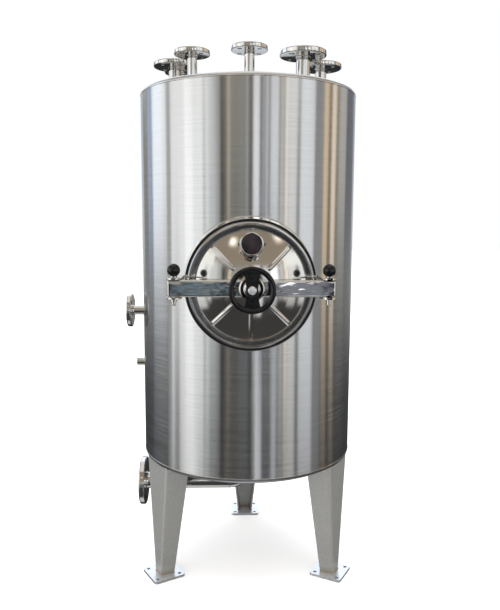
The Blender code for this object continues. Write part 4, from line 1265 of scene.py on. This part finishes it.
# %% Pins and ball knobs
BALL_RADIUS = 17.5 * MM
PIN_BOTTOM = -47 * MM
for name, side, body in (("hinge", -1, "tank"), ("latch", 1, "latch")):
    node = name + "_pin"
    foot = Vector((AXIS.x + side * PIN_X, pin_y, MANWAY.z))
    shoulder = EAR_OUT + GAP
    outline = [(0, shoulder + 4 * MM), (10 * MM, shoulder + 4 * MM, 0.6 * MM),
               (10 * MM, shoulder, 0.6 * MM), (PIN_RADIUS, shoulder)]
    if side < 0:
        outline += [(PIN_RADIUS, -shoulder), (9 * MM, -shoulder, 0.8 * MM),
                    (9 * MM, -shoulder - 7 * MM, 0.8 * MM), (PIN_RADIUS, -shoulder - 7 * MM)]
    outline += [(PIN_RADIUS, PIN_BOTTOM + 3 * MM, 0.8 * MM), (3.6 * MM, PIN_BOTTOM, 0.5 * MM),
                (0, PIN_BOTTOM)]
    made = turned(name + "_bolt", rounded(outline, closed=False), 48, foot, UP)
    dress(smooth(made), *POLISHED, body, node)
    base = shoulder + 4 * MM + GAP
    centre = base + BALL_RADIUS * math.sin(math.radians(60))
    ball = [(BALL_RADIUS * math.sin(t), centre + BALL_RADIUS * math.cos(t))
            for t in (math.radians(150) * step / 40 for step in range(41))]
    made = turned(name + "_ball", ball + [(0, base)], 72, foot, UP)
    dress(smooth(made, 50), *PHENOLIC, body, node + "_knob")

# %% [markdown]
# Handwheel
#
# The wheel is moulded from black phenolic. Nothing on a moulding is sharp, so the wheel is first
# put together from plain turned and cut forms, then rebuilt as an even skin of small cells and
# relaxed. That rounds every inside corner like the fillets of the mould. A plain satin cap covers
# the end of the screw.

# %% Handwheel
WHEEL_PLANE = 555.5 * MM
RIM_CENTRE = 55.5 * MM
RIM_SECTION = 6.8 * MM
HUB_RADIUS = 15 * MM
HUB_BACK, HUB_FRONT = 534.5 * MM, 560.5 * MM
WEB = 4 * MM
CELL = 0.9 * MM               # of the even skin
hub_bore = 8.3 * MM
outline = [(0, HUB_FRONT), (HUB_RADIUS - 2 * MM, HUB_FRONT), (HUB_RADIUS, HUB_FRONT - 2 * MM),
           (16 * MM, WHEEL_PLANE + WEB)]
outline += [(RIM_CENTRE + RIM_SECTION * math.cos(t), WHEEL_PLANE + RIM_SECTION * math.sin(t))
            for t in (math.radians(148 - 296 * step / 24) for step in range(25))]
outline += [(16 * MM, WHEEL_PLANE - WEB), (HUB_RADIUS, 548.5 * MM), (HUB_RADIUS, HUB_BACK),
            (hub_bore, HUB_BACK), (hub_bore, 552 * MM), (0, 552 * MM)]
wheel = turned("phenolic_wheel", outline, 128, MANWAY, FRONT)
WINDOW_REACH = 48 * MM
SPOKE_AT_RIM, SPOKE_AT_HUB = 22 * MM, 15.5 * MM
edge = math.acos(SPOKE_AT_RIM / WINDOW_REACH)
for side in (-1, 1):
    window = [(WINDOW_REACH * math.cos(t), WINDOW_REACH * math.sin(t))
              for t in (-edge + 2 * edge * step / 32 for step in range(33))]
    for step in range(1, 24):
        share = 1 - 2 * step / 24
        window.append((SPOKE_AT_HUB + (SPOKE_AT_RIM - SPOKE_AT_HUB) * share ** 2,
                       WINDOW_REACH * math.sin(edge) * share))
    window = [(side * x, y) for x, y in window]
    cut(wheel, prism("window", window, WHEEL_PLANE - 0.02, WHEEL_PLANE + 0.02, stand))
skin = wheel.modifiers.new("even_skin", "REMESH")
skin.mode = "VOXEL"
skin.voxel_size = CELL
relax = wheel.modifiers.new("fillets", "SMOOTH")
relax.factor = 0.5
relax.iterations = 5
bake(wheel)
wheel.data.shade_smooth()
dress(wheel, *PHENOLIC, "wheel", "handwheel")

cap_base = HUB_FRONT + GAP
outline = rounded([(0, cap_base + 5.2 * MM), (8.5 * MM, cap_base + 4.8 * MM, 3 * MM),
                   (11.3 * MM, cap_base + 2.4 * MM, 2 * MM), (11.3 * MM, cap_base, 0.3 * MM),
                   (0, cap_base)], closed=False)
cap = smooth(turned("blank_cap", outline, 64, MANWAY, FRONT), 50)
dress(cap, plate, "polished_steel", "wheel", "handwheel_cap")

# %% [markdown]
# Legs and base plates
#
# Each leg is folded from 5 mm sheet into a tapered channel that opens towards the tank's axis, so
# the front shows a flat web with a soft bend along both sides. A sheet could be bent with
# modifiers, but the taper is simpler as a skin between two sections, one at the foot and one above
# the bottom, to whose curve it is then cut. The base plates have round corners and four bolt holes.


# %% Legs
LEG_WEB = 345.5 * MM
LEG_SHEET = 5 * MM
LEG_TOP = 420 * MM            # before it is cut to the bottom head
# half width of the web, half width of the mouth, and the mouth's distance from the tank's axis:
# metres at the floor, and growth per metre of height
LEG_TAPERS = ((0.0214, 0.139), (0.0271, 0.107), (0.2993, -0.103))
PLATE = 8 * MM
PLATE_HALF = 54 * MM
PLATE_HOLE = 6 * MM           # radius
HOLE_INSET = 15 * MM
PLATE_REACH = 324 * MM        # from the tank's axis to the middle of a plate


def leg_section(z):
    """Outline of a leg at a height: x away from the tank axis, y across the leg."""
    web_half, mouth_half, mouth = (at_floor + growth * z for at_floor, growth in LEG_TAPERS)
    half = [(LEG_WEB, web_half, 8 * MM), (mouth, mouth_half, 0.8 * MM),
            (mouth, mouth_half - LEG_SHEET, 0.8 * MM),
            (LEG_WEB - LEG_SHEET, web_half - LEG_SHEET, 3 * MM)]
    return rounded(half + [(x, -y, radius) for x, y, radius in half[::-1]])


def leg(name, degrees):
    spin = Matrix.Translation(AXIS) @ Matrix.Rotation(math.radians(degrees), 4, "Z")
    bottom, top = leg_section(PLATE + GAP), leg_section(LEG_TOP)
    count = len(bottom)
    points = [spin @ Vector((x, y, z)) for section, z in ((bottom, PLATE + GAP), (top, LEG_TOP))
              for x, y in section]
    caps = [tuple(range(count)), tuple(range(count, 2 * count))]
    made = piece_from(name + "_channel", points, bands(2, count, False) + caps)
    under = BOTTOM.side(-2 * GAP, DRAIN_PIPE)
    outline = [(0, 0.5), (TANK_RADIUS + GAP, 0.5)] + under + [(0, under[-1][1])]
    cut(made, turned("trim", outline, SHELL_STEPS, AXIS, UP))
    dress(smooth(made), *PICKLED, "tank", name + "_leg")

    foot = [spin @ Vector((x, y, PLATE)) for x, y in bottom]
    even = spread(foot, RIPPLE / 4)
    bead = []
    for number, point in enumerate(even):
        along = (even[(number + 1) % len(even)] - even[number - 1]).normalized()
        bead.append((point, (along.cross(UP) + UP).normalized()))
    weld(name + "_leg_weld", bead, 5 * MM, 2.2 * MM, PICKLED)

    signs = ((1, 1), (-1, 1), (-1, -1), (1, -1))
    corners = [(x * PLATE_HALF, y * PLATE_HALF, 10 * MM) for x, y in signs]
    place = spin @ Matrix.Translation((PLATE_REACH, 0, 0))
    plate_piece = prism(name + "_foot_plate", rounded(corners), 0, PLATE, place)
    hole_reach = PLATE_HALF - HOLE_INSET
    for x in (-hole_reach, hole_reach):
        for y in (-hole_reach, hole_reach):
            drill(plate_piece, place @ Vector((x, y, -0.01)), UP, PLATE_HOLE, 0.03, 40)
    soften(plate_piece, 0.6 * MM, 2)
    dress(smooth(plate_piece), *ROLLED, "tank", name + "_base_plate")


for name, degrees in (("front_left", -150), ("front_right", -30), ("rear", 90)):
    leg(name, degrees)

# %% [markdown]
# Floor
#
# The floor is a wide pale plane that glows a little, like a light table, so that the shadow under
# the tank stays faint. Steel doesn't mirror it: the studio has a ground of its own.

# %% Floor
FLOOR_SIZE = 60
GLOW = 0.35
bpy.ops.mesh.primitive_plane_add(size=FLOOR_SIZE)
floor = bpy.context.object
floor.name = "floor"
pale, tree, shader = start_material(
    "pale_floor", Base_Color=(0.9, 0.9, 0.9, 1), Roughness=0.8,
    Emission_Color=(1, 1, 1, 1), Emission_Strength=GLOW)
floor.data.materials.append(pale)
floor.visible_glossy = False
print("floor of", FLOOR_SIZE, "m")
